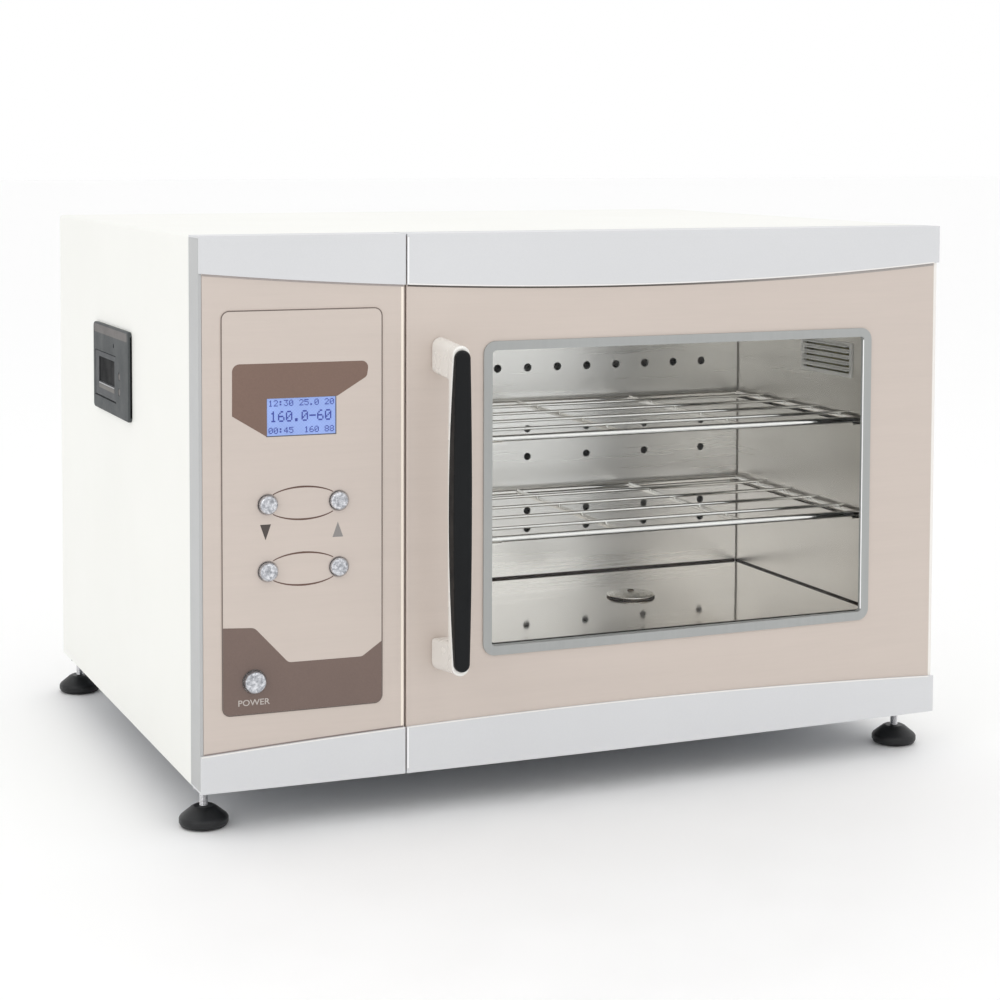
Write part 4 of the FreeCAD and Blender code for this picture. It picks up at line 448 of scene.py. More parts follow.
M = {
    "case_white": paint("case_white", (243, 243, 238), 0.012, 0.34, 0.46, 0.00003),
    # edge_white: the pale door side trim is a painted highlight for the bright rounded right edge of the door.
    "edge_white": paint("edge_white", (238, 235, 230), 0.015, 0.3, 0.42, 0.00002, 0.1),
    "zinc_steel": steel("zinc_steel", (176, 180, 186), "x", 0.28, 0.42, 0.00003, 0.1, 160.0),
    "stainless": steel("stainless", (196, 195, 190), "x", 0.16, 0.3, 0.00002, 0.05),
    "fascia_beige": beige("fascia_beige"),
    "band_silver": paint("band_silver", (214, 215, 217), 0.02, 0.3, 0.42, 0.00002, 0.1, 0.1),
    # trim_grey: the silver of the front's side strip, darkened as painted shade on that side face.
    "trim_grey": paint("trim_grey", (181, 182, 182), 0.03, 0.3, 0.42, 0.00002),
    "trim_bright": steel("trim_bright", (168, 170, 169), "z", 0.3, 0.44, 0.000004, 0.03, 300.0, metallic=0.35),
    # chamber_sheet: its upright side walls carry painted shade, darker towards the top.
    "chamber_sheet": sheet("chamber_sheet", (250, 246, 241), "y", 0.03, 0.09, 0.0003, 0.02, duller=0.23, painted_shade=(130, 215, 0.66)),
    "chamber_back": sheet("chamber_back", (250, 248, 245), "x", 0.22, 0.36, 0.0008, 0.02, 500.0, 0.03),
    "disc_steel": mottled("disc_steel", (206, 198, 186), (250, 246, 238), (255, 255, 252), 420.0, 0.9, 0.00016),
    "disc_shadow_rim": steel("disc_shadow_rim", (104, 92, 82), "x", 0.25, 0.4),
    "disc_screw": steel("disc_screw", (132, 120, 108), "x", 0.25, 0.4),
    "louvre_steel": sheet("louvre_steel", (252, 250, 245), "y", 0.26, 0.4, 0.0002, 0.06, metallic=0.3),
    "pan_steel": sheet("pan_steel", (240, 239, 236), "z", 0.18, 0.32),
    "seam_dark": rubber("seam_dark", (66, 54, 48)),
    "seam_grey": rubber("seam_grey", (190, 184, 177)),
    "painted_shadow_door": along_x("painted_shadow_door", 330, 470, (84, 76, 70), (170, 164, 160)),
    "painted_shadow_soft": along_x("painted_shadow_soft", 0, 145, (178, 168, 164), (172, 163, 160)),
    "gap_low": along_x("gap_low", 0, 145, (150, 138, 134), (134, 122, 118)),
    "painted_lip_highlight": paint("painted_lip_highlight", (236, 234, 231), 0.015, 0.28, 0.38, 0.00002, 0.1, 0.1),
    "painted_highlight_cream": paint("painted_highlight_cream", (246, 236, 222), 0.02, 0.28, 0.4, 0.00002, 0.2),
    "painted_highlight_white": paint("painted_highlight_white", (250, 250, 250), 0.01, 0.22, 0.32, 0.00001, 0.3),
    "overlay_film": beige("overlay_film"),
    "display": glow("display", (146, 171, 232), 0.05, 900.0),
    "display_frame": moulded("display_frame", (92, 98, 112), 0.08, 0.3, 0.45, 0.00002),
    "board_green": board("board_green"),
    "gasket_silicone": rubber("gasket_silicone", (128, 128, 126)),
    "mineral_wool": wool("mineral_wool"),
    "element_steel": steel("element_steel", (92, 86, 80), "y", 0.4, 0.6, 0.00004, 0.2, 200.0),
    "motor_grey": paint("motor_grey", (96, 98, 102), 0.06),
    "probe_steel": steel("probe_steel", (180, 180, 180), "y", 0.2, 0.3),
    "ceramic_white": paint("ceramic_white", (226, 222, 206), 0.04, 0.15, 0.25, 0.00002, 0.4),
    "inlet_black": moulded("inlet_black", (26, 26, 28)),
    "chrome_plate": chrome("chrome_plate", (214, 214, 216), 0.12, 0.24),
    "magnet_dark": moulded("magnet_dark", (44, 42, 42)),
    "printer_grey": moulded("printer_grey", (84, 87, 88), 0.16, 0.45, 0.62, 0.0001, spec=0.1),
    "printer_cover_grey": moulded("printer_cover_grey", (87, 89, 91), 0.14, 0.42, 0.58, 0.00008, spec=0.1),
    # printer_pale_and_highlight: the printer keys' pale plastic, also used for a painted reflection on the bezel's top.
    "printer_pale_and_highlight": moulded("printer_pale_and_highlight", (108, 104, 102), 0.14, 0.4, 0.55, 0.00006, spec=0.15),
    "printer_dark": moulded("printer_dark", (12, 13, 15), 0.12, 0.35, 0.5, 0.00003, spec=0.02),
    "printer_lip": moulded("printer_lip", (116, 113, 109), 0.16, 0.4, 0.55, 0.00006, spec=0.15),
    "cutter_pale": steel("cutter_pale", (196, 196, 196), "y", 0.35, 0.5, 0.000004, 0.08, metallic=0.4),
    "door_glass": glass("door_glass", (0.99, 0.993, 0.992, 1), 0.0, 0.004),
    "handle_silver": paint("handle_silver", (241, 239, 234), 0.015, 0.22, 0.32, 0.000006, 0.3, 0.12),
    "grip_black": moulded("grip_black", (17, 19, 21), 0.12, 0.42, 0.58, 0.00003, spec=0.2),
    "key_chrome": mottled("key_chrome", (150, 152, 157), (188, 190, 195), (228, 229, 233)),
    "key_shade_ring": moulded("key_shade_ring", (178, 167, 160), 0.1, 0.3, 0.45, 0.00002),
    "key_shade_ring_dark": moulded("key_shade_ring_dark", (92, 80, 75), 0.1, 0.3, 0.45, 0.00002),
    "foot_rubber": rubber("foot_rubber", (26, 27, 29), 0.36, 0.52),
    "fan_alloy": steel("fan_alloy", (188, 190, 192), "x", 0.3, 0.45),
    "shelf_wire": chrome("shelf_wire", (253, 251, 248), 0.05, 0.11, 0.03),
    "paper_white": paint("paper_white", (240, 240, 235), 0.02, 0.6, 0.75, 0.00002),
    "print_brown": paint("print_brown", (122, 97, 85), 0.09, 0.3, 0.42, 0.00002, 0.1),
    "print_brown_low": paint("print_brown_low", (113, 94, 86), 0.08, 0.3, 0.42, 0.00002, 0.1),
    "print_dark": paint("print_dark", (104, 92, 86), 0.08, 0.35, 0.5, 0.00001),
    "print_link": paint("print_link", (100, 74, 64), 0.12, 0.35, 0.5, 0.00001),
    "print_arrow": paint("print_arrow", (142, 138, 136), 0.06, 0.35, 0.5, 0.00001),
    "print_arrow_dark": paint("print_arrow_dark", (74, 66, 62), 0.06, 0.35, 0.5, 0.00001),
    "print_pale": paint("print_pale", (192, 184, 178), 0.04, 0.35, 0.5, 0.00001),
    "display_ink": paint("display_ink", (56, 72, 164), 0.1, 0.25, 0.35, 0.00001),
    "dark_gap": rubber("dark_gap", (58, 54, 52)),
    "floor": paint("floor", (253, 253, 253), 0.002, 0.5, 0.7, 0.00002),
}
slot_of = {s["node"]: s["material_slot"] for s in frame["record"]["subparts"]}
finer = {"chamber_shell": "chamber_sheet", "chamber_back_wall": "chamber_back", "floor_vent_disc": "disc_steel",
         "side_louvre": "louvre_steel", "shelf_runners": "chamber_sheet", "door_inner_pan": "pan_steel"}
for name, ob in frame["nodes"].items():
    mat = M[finer.get(name, slot_of[name])]
    if not ob.material_slots:
        ob.data.materials.append(mat)
    for s in ob.material_slots:
        s.material = mat


# ---- mesh helpers -----------------------------------------------------------------------------
def piece(name, verts, faces, mat, body, smooth=None):
    me = bpy.data.meshes.new(name)
    me.from_pydata([tuple(v) for v in verts], [], faces)
    me.validate()
    bm = bmesh.new()
    bm.from_mesh(me)
    bmesh.ops.remove_doubles(bm, verts=bm.verts, dist=1e-7)
    bmesh.ops.recalc_face_normals(bm, faces=bm.faces)
    bm.to_mesh(me)
    bm.free()
    me.materials.append(M[mat])
    ob = bpy.data.objects.new(name, me)
    bpy.context.scene.collection.objects.link(ob)
    if smooth is not None:
        for p in me.polygons:
            p.use_smooth = True
        me.set_sharp_from_angle(angle=math.radians(smooth))
    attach(ob, body)
    return ob


def lathe(profile, steps, place):
    """Closed profile of (radius, height) turned about its axis; place maps (x, y, h) to part metres."""
    verts, faces = [], []
    rings = []
    for r, h in profile:
        if r < 1e-6:
            rings.append([len(verts)])
            verts.append(place(0, 0, h))
        else:
            ring = []
            for i in range(steps):
                a = 2 * math.pi * i / steps
                ring.append(len(verts))
                verts.append(place(r * math.cos(a), r * math.sin(a), h))
            rings.append(ring)
    for a, b in zip(rings, rings[1:]):
        if len(a) == 1 and len(b) == 1:
            continue
        for i in range(steps):
            j = (i + 1) % steps
            if len(a) == 1:
                faces.append((a[0], b[i], b[j]))
            elif len(b) == 1:
                faces.append((a[i], b[0], a[j]))
            else:
                faces.append((a[i], b[i], b[j], a[j]))
    return verts, faces


def inlay(name, outline, lift, mat, body="cabinet", thick=0.12, surface=0.9, holes=()):
    """Thin printed area that follows the bowed front; outline is [(x, z)] in the case frame."""
    bm = bmesh.new()
    loops = [outline] + list(holes)
    edges = []
    for loop in loops:
        vs = [bm.verts.new((x, 0, z)) for x, z in loop]
        for i in range(len(vs)):
            edges.append(bm.edges.new((vs[i], vs[(i + 1) % len(vs)])))
    bmesh.ops.triangle_fill(bm, use_beauty=True, use_dissolve=False, edges=edges)
    xs = [x for x, z in outline]
    x = math.ceil(min(xs) / 6) * 6
    while x < max(xs):
        geom = bm.verts[:] + bm.edges[:] + bm.faces[:]
        bmesh.ops.bisect_plane(bm, geom=geom, plane_co=(x, 0, 0), plane_no=(1, 0, 0), dist=1e-5)
        x += 6
    bmesh.ops.recalc_face_normals(bm, faces=bm.faces)
    ret = bmesh.ops.extrude_face_region(bm, geom=bm.faces[:])
    new = {v for v in ret["geom"] if isinstance(v, bmesh.types.BMVert)}
    for v in bm.verts:
        depth = surface - lift if v in new else surface - lift + thick
        v.co = m(v.co.x, bow(v.co.x, depth), v.co.z)
    bmesh.ops.recalc_face_normals(bm, faces=bm.faces)
    me = bpy.data.meshes.new(name)
    bm.to_mesh(me)
    bm.free()
    me.materials.append(M[mat])
    ob = bpy.data.objects.new(name, me)
    bpy.context.scene.collection.objects.link(ob)
    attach(ob, body)
    return ob


def rounded(points, radii, n=6):
    """Polygon with rounded corners."""
    out = []
    k = len(points)
    for i in range(k):
        p, a, b = Vector(points[i]), Vector(points[i - 1]), Vector(points[(i + 1) % k])
        r = radii[i] if isinstance(radii, (list, tuple)) else radii
        if r <= 0:
            out.append(tuple(p))
            continue
        u, v = (a - p).normalized(), (b - p).normalized()
        ang = u.angle(v)
        t = min(r / math.tan(ang / 2), (a - p).length * 0.48, (b - p).length * 0.48)
        r = t * math.tan(ang / 2)
        c = p + (u + v).normalized() * (r / math.sin(ang / 2))
        s, e = p + u * t, p + v * t
        a0 = math.atan2(s.y - c.y, s.x - c.x)
        a1 = math.atan2(e.y - c.y, e.x - c.x)
        d = (a1 - a0 + math.pi) % (2 * math.pi) - math.pi
        for j in range(n + 1):
            q = a0 + d * j / n
            out.append((c.x + r * math.cos(q), c.y + r * math.sin(q)))
    return out


def pixel(x, y, plane_y):
    """Case-frame (x, z) of the photograph's pixel on the plane at depth plane_y."""
    cpos = Vector((-382, -1421, 441))
    d = fwd + r2 * ((x - 499) / 2192) - u2 * ((y - 272) / 2192)
    k = (plane_y - cpos.y) / d.y
    q = cpos + d * k
    return (q.x, q.z)


def front_px(x, y):
    """Case-frame (x, z) of a pixel on the bowed front."""
    q = pixel(x, y, -2)
    for _ in range(3):
        q = pixel(x, y, bow(q[0], 0.9))
    return q


# ---- control overlay print ---------------------------------------------------------------------
upper = rounded([front_px(*p) for p in ((232, 364.6), (369, 360.4), (367, 376), (337.2, 395.8), (266.6, 398.9), (267, 437), (232, 416.6))],
                [5, 6, 4, 0.4, 0.4, 0.4, 0.6])
inlay("print_upper_field", upper, 0.06, "print_brown")
lx, rx, zl = 15.7, 128.3, 52.4
lower = rounded([(lx, zl), (rx, zl), (rx, front_px(378.5, 641)[1])] +
                [front_px(362, 656.3), front_px(288.5, 662.3), front_px(254.5, 628), (lx, front_px(223, 628.6)[1])],
                [5.0, 5.0, 0, 5, 5, 6, 0])
power_hole = [(37.3 + 8.05 * math.cos(a), 74.4 + 8.05 * math.sin(a)) for a in [-2 * math.pi * i / 40 for i in range(40)]]
inlay("print_lower_field", lower, 0.06, "print_brown_low", holes=[power_hole])


def ring_band(outer, inner, name, mat):
    inlay(name, outer, 0.07, mat, holes=[list(reversed(inner))])


ov = (14.8, 129.2, 51.5, 327.8)
outer = rounded([(ov[0] + 0.1, ov[2] + 0.1), (ov[1] - 0.1, ov[2] + 0.1), (ov[1] - 0.1, ov[3] - 0.1), (ov[0] + 0.1, ov[3] - 0.1)], 5.9, 8)
inner = rounded([(ov[0] + 0.85, ov[2] + 0.85), (ov[1] - 0.85, ov[2] + 0.85), (ov[1] - 0.85, ov[3] - 0.85), (ov[0] + 0.85, ov[3] - 0.85)], 5.15, 8)
ring_band(outer, inner, "print_border", "print_dark")

for tag, zc in (("upper", 195.0), ("lower", 149.7)):
    xm = 72.0
    for side, sgn in (("high", 1), ("low", -1)):
        pts_o, pts_i = [], []
        for i in range(25):
            t = -0.8 + 1.6 * i / 24
            x = xm + 26.6 * t
            z = 11.2 * math.sqrt(max(0.0, 1 - t * t))
            w = 0.3 + 0.34 * (1 - abs(t))
            pts_o.append((x, zc + sgn * (z + w)))
            pts_i.append((x, zc + sgn * (z - w)))
        loop = pts_o + list(reversed(pts_i))
        if sgn < 0:
            loop = list(reversed(loop))
        inlay("print_link_%s_%s" % (tag, side), loop, 0.07, "print_link")

inlay("print_arrow_down", [(45.5 - 3.8, 181.6), (45.5 + 3.8, 181.6), (45.5, 170.9)], 0.07, "print_arrow_dark")
inlay("print_arrow_up", [(96.7 - 3.8, 170.1), (96.7 + 3.8, 170.1), (96.7, 180.6)], 0.07, "print_arrow")


def lettering(name, text, size, x, z, mat, surface, lift, width=None, bold=0.0, squat=1.0):
    """Flat letters on the bowed front, centred on x, with the baseline at z."""
    cu = bpy.data.curves.new(name + "_curve", "FONT")
    cu.body = text
    cu.size = size
    cu.align_x = "CENTER"
    cu.extrude = 0.05
    cu.offset = bold
    cu.resolution_u = 4
    tmp = bpy.data.objects.new(name + "_curve", cu)
    bpy.context.scene.collection.objects.link(tmp)
    bpy.context.view_layer.update()
    me = bpy.data.meshes.new_from_object(tmp.evaluated_get(bpy.context.evaluated_depsgraph_get()))
    bpy.data.objects.remove(tmp)
    bpy.data.curves.remove(cu)
    me.name = name
    xs = [v.co.x for v in me.vertices]
    k = 1.0 if width is None else width / (max(xs) - min(xs))
    for v in me.vertices:
        px, pz, d = v.co.x * k + x, v.co.y * squat + z, v.co.z
        v.co = m(px, bow(px, surface - lift - d), pz)
    me.materials.clear()
    me.materials.append(M[mat])
    bm = bmesh.new()
    bm.from_mesh(me)
    bmesh.ops.remove_doubles(bm, verts=bm.verts, dist=1e-8)
    bmesh.ops.recalc_face_normals(bm, faces=bm.faces)
    bm.to_mesh(me)
    bm.free()
    ob = bpy.data.objects.new(name, me)
    bpy.context.scene.collection.objects.link(ob)
    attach(ob, "cabinet")
    return ob


lettering("label_power", "POWER", 6.6, 36.9, 58.2, "print_pale", 0.9, 0.1, 22, 0.05, 0.88)

# Numerals of 5 by 7 dots: one number per row from the top, highest bit at the left.
FONT = {"0": (14, 17, 19, 21, 25, 17, 14), "1": (4, 12, 4, 4, 4, 4, 14), "2": (14, 17, 1, 2, 4, 8, 31), "3": (31, 2, 4, 2, 1, 17, 14),
        "4": (2, 6, 10, 18, 31, 2, 2), "5": (31, 16, 30, 1, 1, 17, 14), "6": (6, 8, 16, 30, 17, 17, 14), "7": (31, 1, 2, 4, 8, 8, 8),
        "8": (14, 17, 17, 14, 17, 17, 14), "9": (14, 17, 17, 15, 1, 2, 12), ":": (0, 12, 12, 0, 12, 12, 0), ".": (0, 0, 0, 0, 0, 12, 12),
        "-": (0, 0, 0, 31, 0, 0, 0), " ": (0, 0, 0, 0, 0, 0, 0)}


def dot_row(name, text, x0, z0, pitch, tall=None):
    """One row of 5 by 7 dot characters on the display; x0 is the left edge, z0 the lower edge."""
    tall = tall or pitch
    bm = bmesh.new()
    for k, ch in enumerate(text):
        for r, bits in enumerate(FONT[ch]):
            for c in range(5):
                if bits >> (4 - c) & 1:
                    xa, za = x0 + (6 * k + c) * pitch, z0 + (6 - r) * tall
                    xb, zb = xa + pitch * 0.97, za + tall * 0.97
                    lo = [bm.verts.new(m(x, bow(x, 1.2 - 0.01), z)) for x, z in ((xa, za), (xb, za), (xb, zb), (xa, zb))]
                    hi = [bm.verts.new(m(x, bow(x, 1.2 - 0.07), z)) for x, z in ((xa, za), (xb, za), (xb, zb), (xa, zb))]
                    bm.faces.new(lo[::-1])
                    bm.faces.new(hi)
                    for i in range(4):
                        bm.faces.new((lo[i], lo[(i + 1) % 4], hi[(i + 1) % 4], hi[i]))
    bmesh.ops.recalc_face_normals(bm, faces=bm.faces)
    me = bpy.data.meshes.new(name)
    bm.to_mesh(me)
    bm.free()
    me.materials.append(M["display_ink"])
    ob = bpy.data.objects.new(name, me)
    bpy.context.scene.collection.objects.link(ob)
    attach(ob, "cabinet")
    return ob


dot_row("display_row_1", "12:30 25.0 20", 47.9, 261.9, 0.6)
dot_row("display_row_2", "160.0-60", 49.0, 251.2, 0.92, 1.06)
dot_row("display_row_3", "00:45  160 88", 47.9, 243.3, 0.6)
d_out = [(46.2, 241.3), (95.7, 241.3), (95.7, 267.9), (46.2, 267.9)]
d_in = [(46.8, 241.9), (95.1, 241.9), (95.1, 267.3), (46.8, 267.3)]
inlay("display_frame", d_out, 0.05, "display_frame", surface=1.2, holes=[list(reversed(d_in))])


# ---- dark lines, painted shadows and painted highlights on the lips and rolled edges of the front ---
def top_edge(x):
    return 338.8 + 3384 - math.sqrt(3384 ** 2 - (x - 310) ** 2)


def bottom_edge(x):
    return 35.6 - 5005 + math.sqrt(5005 ** 2 - (x - 310) ** 2)


def ribbon(name, x0, x1, low, high, mat, surface, lift=0.05, body="cabinet"):
    """Narrow strip on the bowed front between the curves low(x) and high(x)."""
    n = max(1, int((x1 - x0) / 9))
    xs = [x0 + (x1 - x0) * i / n for i in range(n + 1)]
    outline = [(x, low(x)) for x in xs] + [(x, high(x)) for x in reversed(xs)]
    return inlay(name, outline, lift, mat, body, 0.1, surface)


# Painted shadow under the lip of the door's top band, darkest towards the left.
ribbon("painted_shadow_door_top", 147.6, 580.4, lambda x: top_edge(x) - (1.3 + 0.7 * min(1, max(0, (x - 330) / 140))), lambda x: top_edge(x) - 0.02,
       "painted_shadow_door", 1.5, body="door")
# Painted highlight along the lower lip of the door's top band.
ribbon("highlight_door_top_lip", 147.8, 580.4, lambda x: top_edge(x) + 0.08, lambda x: top_edge(x) + 1.0, "painted_lip_highlight", 0.0, body="door")
# Painted shadow under the lip of the fascia's top band.
ribbon("painted_shadow_fascia_top", 2.6, 144.6, lambda x: top_edge(x) - 1.5, lambda x: top_edge(x) - 0.02, "painted_shadow_soft", 1.5)
ribbon("gap_fascia_bottom", 2.6, 144.6, lambda x: bottom_edge(x) + 0.02, lambda x: bottom_edge(x) + 0.95, "gap_low", 1.5)
# Painted highlights along the top lips of the bottom bands.
ribbon("highlight_fascia_bottom_lip", 0.6, 144.8, lambda x: bottom_edge(x) - 1.0, lambda x: bottom_edge(x) - 0.08, "painted_lip_highlight", 0.0)
ribbon("highlight_door_bottom_lip", 147.8, 580.4, lambda x: bottom_edge(x) - 0.95, lambda x: bottom_edge(x) - 0.08, "painted_lip_highlight", 0.0, body="door")
# Painted highlight on the fascia's rounded right edge.
ribbon("highlight_fascia_right_edge", 142.9, 144.5, lambda x: bottom_edge(x) + 1.0, lambda x: top_edge(x) - 1.6, "painted_highlight_cream", 1.5)
# Painted highlights on the rounded left edges of the door's bands.
ribbon("highlight_door_top_band_edge", 147.2, 148.2, lambda x: top_edge(x) + 0.3, lambda x: 375.6, "painted_highlight_white", 0.0, body="door")
ribbon("highlight_door_bottom_band_edge", 147.2, 148.2, lambda x: 3.4, lambda x: bottom_edge(x) - 0.3, "painted_highlight_white", 0.0, body="door")
# Painted highlight on the window trim's inner right edge.
inlay("highlight_trim_inner_edge", [(516.2, 86.5), (517.15, 86.5), (517.15, 292.6), (516.2, 292.6)], 0.05, "painted_highlight_white", "door", 0.1, 0.2)

# Rings of painted shade round the keys, darkest round the power key.
for tag, kx, kz, r in (("upper_left", 47, 195.3, 6.5), ("upper_right", 97.4, 195.3, 6.5), ("lower_left", 47, 149.4, 6.5),
                       ("lower_right", 97.4, 149.4, 6.5), ("power", 37.3, 74.4, 7.6)):
    ro = [(kx + (r + 0.95) * math.cos(2 * math.pi * i / 48), kz + (r + 0.95) * math.sin(2 * math.pi * i / 48)) for i in range(48)]
    ri = [(kx + (r + 0.4) * math.cos(-2 * math.pi * i / 48), kz + (r + 0.4) * math.sin(-2 * math.pi * i / 48)) for i in range(48)]
    inlay("key_shade_ring_" + tag, ro, 0.1, "key_shade_ring_dark" if tag == "power" else "key_shade_ring", holes=[ri])


# ---- chamber seams -------------------------------------------------------------------------------
def bead(name, a, b, u, v, size, mat, body="cabinet"):
    """Concave sealing bead in a corner: from a to b, with legs of the given size along u and v."""
    a, b, u, v = Vector(a), Vector(b), Vector(u), Vector(v)
    prof = [Vector((0, 0)), Vector((size, 0))]
    for i in range(1, 6):
        t = math.radians(90 * i / 6)
        prof.append(Vector((size - size * math.sin(t) * 0.92, size - size * math.cos(t) * 0.92)))
    prof.append(Vector((0, size)))
    verts, faces = [], []
    n = len(prof)
    steps = 24
    for k in range(steps + 1):
        q = a.lerp(b, k / steps)
        for w in prof:
            c = q + u * w.x + v * w.y
            verts.append(m(c.x, c.y, c.z))
    for k in range(steps):
        for i in range(n):
            j = (i + 1) % n
            faces.append((k * n + i, k * n + j, (k + 1) * n + j, (k + 1) * n + i))
    faces.append(tuple(range(n - 1, -1, -1)))
    faces.append(tuple(range(steps * n, steps * n + n)))
    return piece(name, verts, faces, mat, body, 40)


bead("bead_floor_back", (224, 239.9, 79.1), (541, 239.9, 79.1), (0, -1, 0), (0, 0, 1), 1.6, "seam_dark")
bead("bead_floor_right", (542.9, 30, 79.1), (542.9, 239.8, 79.1), (-1, 0, 0), (0, 0, 1), 1.3, "seam_dark")
bead("bead_back_right", (542.9, 239.9, 80.5), (542.9, 239.9, 307.8), (-1, 0, 0), (0, -1, 0), 1.0, "seam_grey")
bead("bead_floor_left", (223.1, 30, 79.1), (223.1, 239.8, 79.1), (1, 0, 0), (0, 0, 1), 1.3, "seam_dark")
bead("bead_back_left", (223.1, 239.9, 80.5), (223.1, 239.9, 307.8), (1, 0, 0), (0, -1, 0), 1.0, "seam_grey")


# ---- strip printer ---------------------------------------------------------------------------------
def plate(name, outline, x_in, x_out, mat, body, edge=0.0):
    """Plate on the left side: outline in (y, z), from x_in out to x_out, with a bevel of width edge on its face."""
    n = len(outline)
    cy, cz = sum(p[0] for p in outline) / n, sum(p[1] for p in outline) / n
    rings = [(x_in, 0.0)]
    if edge:
        rings += [(x_out + edge * (1 if x_out < x_in else -1), 0.0), (x_out, edge)]
    else:
        rings += [(x_out, 0.0)]
    verts, faces = [], []
    for x, inset in rings:
        for y, z in outline:
            d = Vector((cy - y, cz - z))
            k = inset / d.length if d.length else 0
            verts.append(m(x, y + d.x * k, z + d.y * k))
    for r in range(len(rings) - 1):
        for i in range(n):
            j = (i + 1) % n
            faces.append((r * n + i, r * n + j, (r + 1) * n + j, (r + 1) * n + i))
    faces.append(tuple(range(n - 1, -1, -1)))
    faces.append(tuple(range((len(rings) - 1) * n, len(rings) * n)))
    return piece(name, verts, faces, mat, body, 30)


plate("printer_window", rounded([(238.1, 252.5), (291, 252.5), (291, 271.6), (238.1, 271.6)], 0.8, 4), -2.08, -2.3, "printer_dark",
      "printer_lid", 0.12)
teeth = [(238.4, 250.75)]
k = 13
for i in range(k):
    y0 = 238.4 + 52.2 * i / k
    teeth += [(y0 + 0.1, 251.0), (y0 + 1.0, 251.75), (y0 + 2.3, 251.75), (y0 + 3.2, 251.0)]
teeth += [(290.6, 250.75)]
plate("printer_cutter", teeth[::-1], -2.85, -3.05, "cutter_pale", "printer_lid")
plate("printer_lip", rounded([(238.1, 247.3), (291, 247.3), (291, 250.3), (238.1, 250.3)], 0.7, 4), -2.85, -3.0, "printer_lip",
      "printer_lid", 0.06)
for tag, kz in (("high", 262), ("low", 250)):
    disc = [(222 + 2.9 * math.cos(2 * math.pi * i / 40), kz + 2.9 * math.sin(2 * math.pi * i / 40)) for i in range(40)]
    plate("printer_key_" + tag, disc, -2.15, -2.9, "printer_pale_and_highlight", "cabinet", 0.35)
plate("printer_seam", rounded([(232.2, 240.1), (305.4, 240.1), (305.4, 240.9), (232.2, 240.9)], 0.2, 2), -2.93, -3.03, "printer_dark",
      "cabinet")
# Lighter strip along the top of the bezel: painted reflection.
plate("printer_top_reflection", rounded([(195.5, 290.4), (307.5, 290.4), (306.5, 296.8), (196.5, 296.8)], 1.4, 5), -2.9, -3.06, "printer_pale_and_highlight",
      "cabinet", 0.1)
plate("printer_lamp", [(240 + 1.5 * math.cos(2 * math.pi * i / 32), 284 + 1.5 * math.sin(2 * math.pi * i / 32)) for i in range(32)],
      -2.21, -2.5, "printer_dark", "cabinet", 0.2)
# Dark strip on the bezel's front side: painted shadow.
piece("printer_front_side_shadow", [m(x, y, z) for y in (191.98, 191.9) for x, z in ((-1.4, 233.4), (-0.1, 233.4), (-0.1, 294.6), (-1.4, 294.6))],
      [(0, 1, 2, 3), (4, 7, 6, 5), (0, 4, 5, 1), (1, 5, 6, 2), (2, 6, 7, 3), (3, 7, 4, 0)], "printer_dark", "cabinet")

# ---- door handle ---------------------------------------------------------------------------------
def cast_copy(name, node, voxel, rounds, mat, body):
    """Fine even mesh of a node's own shape with its edges eased, as on a polished casting."""
    ob = bpy.data.objects.new(name, frame["nodes"][node].data.copy())
    bpy.context.scene.collection.objects.link(ob)
    fine = ob.modifiers.new("fine", "REMESH")
    fine.mode = "VOXEL"
    fine.voxel_size = voxel
    fine.use_smooth_shade = True
    ease = ob.modifiers.new("ease", "SMOOTH")
    ease.factor = 0.5
    ease.iterations = rounds
    me = bpy.data.meshes.new_from_object(ob.evaluated_get(bpy.context.evaluated_depsgraph_get()))
    ob.modifiers.clear()
    ob.data = me
    me.name = name
    me.materials.clear()
    me.materials.append(M[mat])
    for p in me.polygons:
        p.use_smooth = True
    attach(ob, body)
    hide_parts(node)
    return ob


cast_copy("handle_casting", "handle_bow", 0.0006, 5, "handle_silver", "door")

# ---- floor vent disc: shallow dome with a rolled rim and a dark ring of painted shadow under it, held by one screw ----
def at_vent(x, y, h):
    return m(390 + x, 137 + y, 79 + h)


v, f = lathe([(0, 2.4), (3, 2.4), (3, 0.05), (6, 0.05), (6, 2.6), (12, 2.3), (16.8, 1.7), (18.4, 1.3), (18.9, 1.35),
              (19.1, 1.7), (18.9, 2.2), (17.6, 2.75), (15, 3.35), (12, 3.8), (9, 4.15), (6, 4.38), (3, 4.48), (0, 4.5)],
             64, at_vent)
dome = piece("vent_disc_dome", v, f, "disc_steel", "cabinet", 40)
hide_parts("floor_vent_disc")
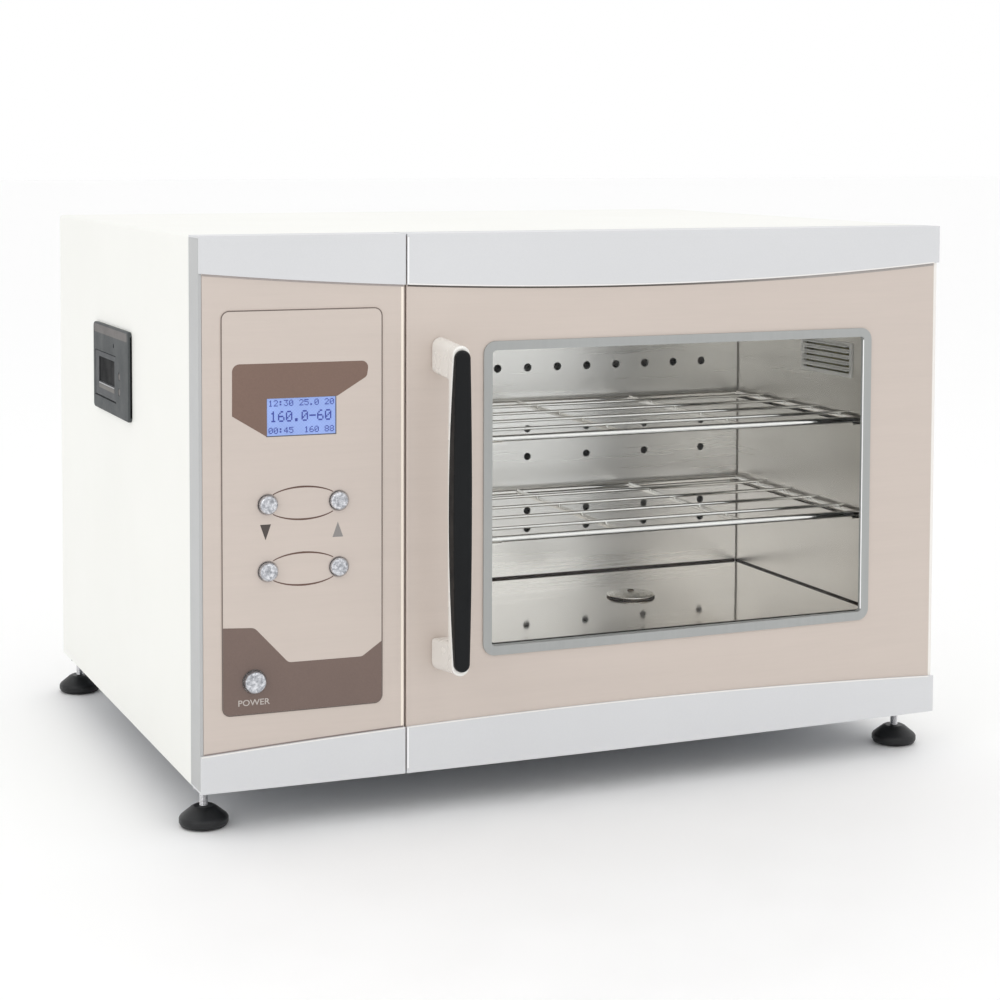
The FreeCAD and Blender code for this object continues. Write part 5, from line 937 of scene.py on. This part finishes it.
# Dark ring under the dome's rim: painted shadow.
v, f = lathe([(17.4, 0.5), (18.8, 0.35), (19.2, 0.55), (19.3, 0.95), (19.1, 1.3), (18.4, 1.25), (17.4, 1.4), (17.4, 0.5)],
             64, at_vent)
piece("vent_disc_shadow_rim", v, f, "disc_shadow_rim", "cabinet", 40)
v, f = lathe([(0, 4.4), (2.7, 4.4), (2.7, 5.1), (2.4, 5.55), (1.6, 5.85), (0, 5.95)], 24, at_vent)
piece("vent_disc_screw", v, f, "disc_screw", "cabinet", 40)

# ---- threaded foot studs ----------------------------------------------------------------------------
for label, fx, fy in (("front_left", 11.5, 36.5), ("front_right", 573.5, 36.5), ("rear_left", 11.5, 440.6), ("rear_right", 573.5, 440.6)):
    prof = [(0, -27.38), (2.5, -27.38)]
    z = -27.38
    while z < 12.2:
        prof += [(2.55, z), (3.0, z + 0.42), (3.0, z + 0.58), (2.55, z + 1.0)]
        z += 1.0
    prof += [(2.5, z + 0.1), (1.9, 13.58), (0, 13.58)]
    clean = [prof[0]]
    for q in prof[1:]:
        if abs(q[0] - clean[-1][0]) + abs(q[1] - clean[-1][1]) > 1e-4:
            clean.append(q)
    v, f = lathe(clean, 28, lambda x, y, h, fx=fx, fy=fy: m(fx + x, fy + y, h))
    stud = piece("stud_thread_" + label, v, f, "chrome_plate", "foot_" + label, 50)
    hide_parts("foot_stud_" + label)

# ---- floor ------------------------------------------------------------------------------------
def slab(name, half, z0, z1, mat):
    vs = [(-half, -half, z0), (half, -half, z0), (half, half, z0), (-half, half, z0),
          (-half, -half, z1), (half, -half, z1), (half, half, z1), (-half, half, z1)]
    fs = [(0, 3, 2, 1), (4, 5, 6, 7), (0, 1, 5, 4), (1, 2, 6, 5), (2, 3, 7, 6), (3, 0, 4, 7)]
    me = bpy.data.meshes.new(name)
    me.from_pydata(vs, [], fs)
    me.materials.append(M[mat])
    ob = bpy.data.objects.new(name, me)
    bpy.context.scene.collection.objects.link(ob)
    return ob


slab("floor", 25.0, -0.02, -0.0002, "floor")
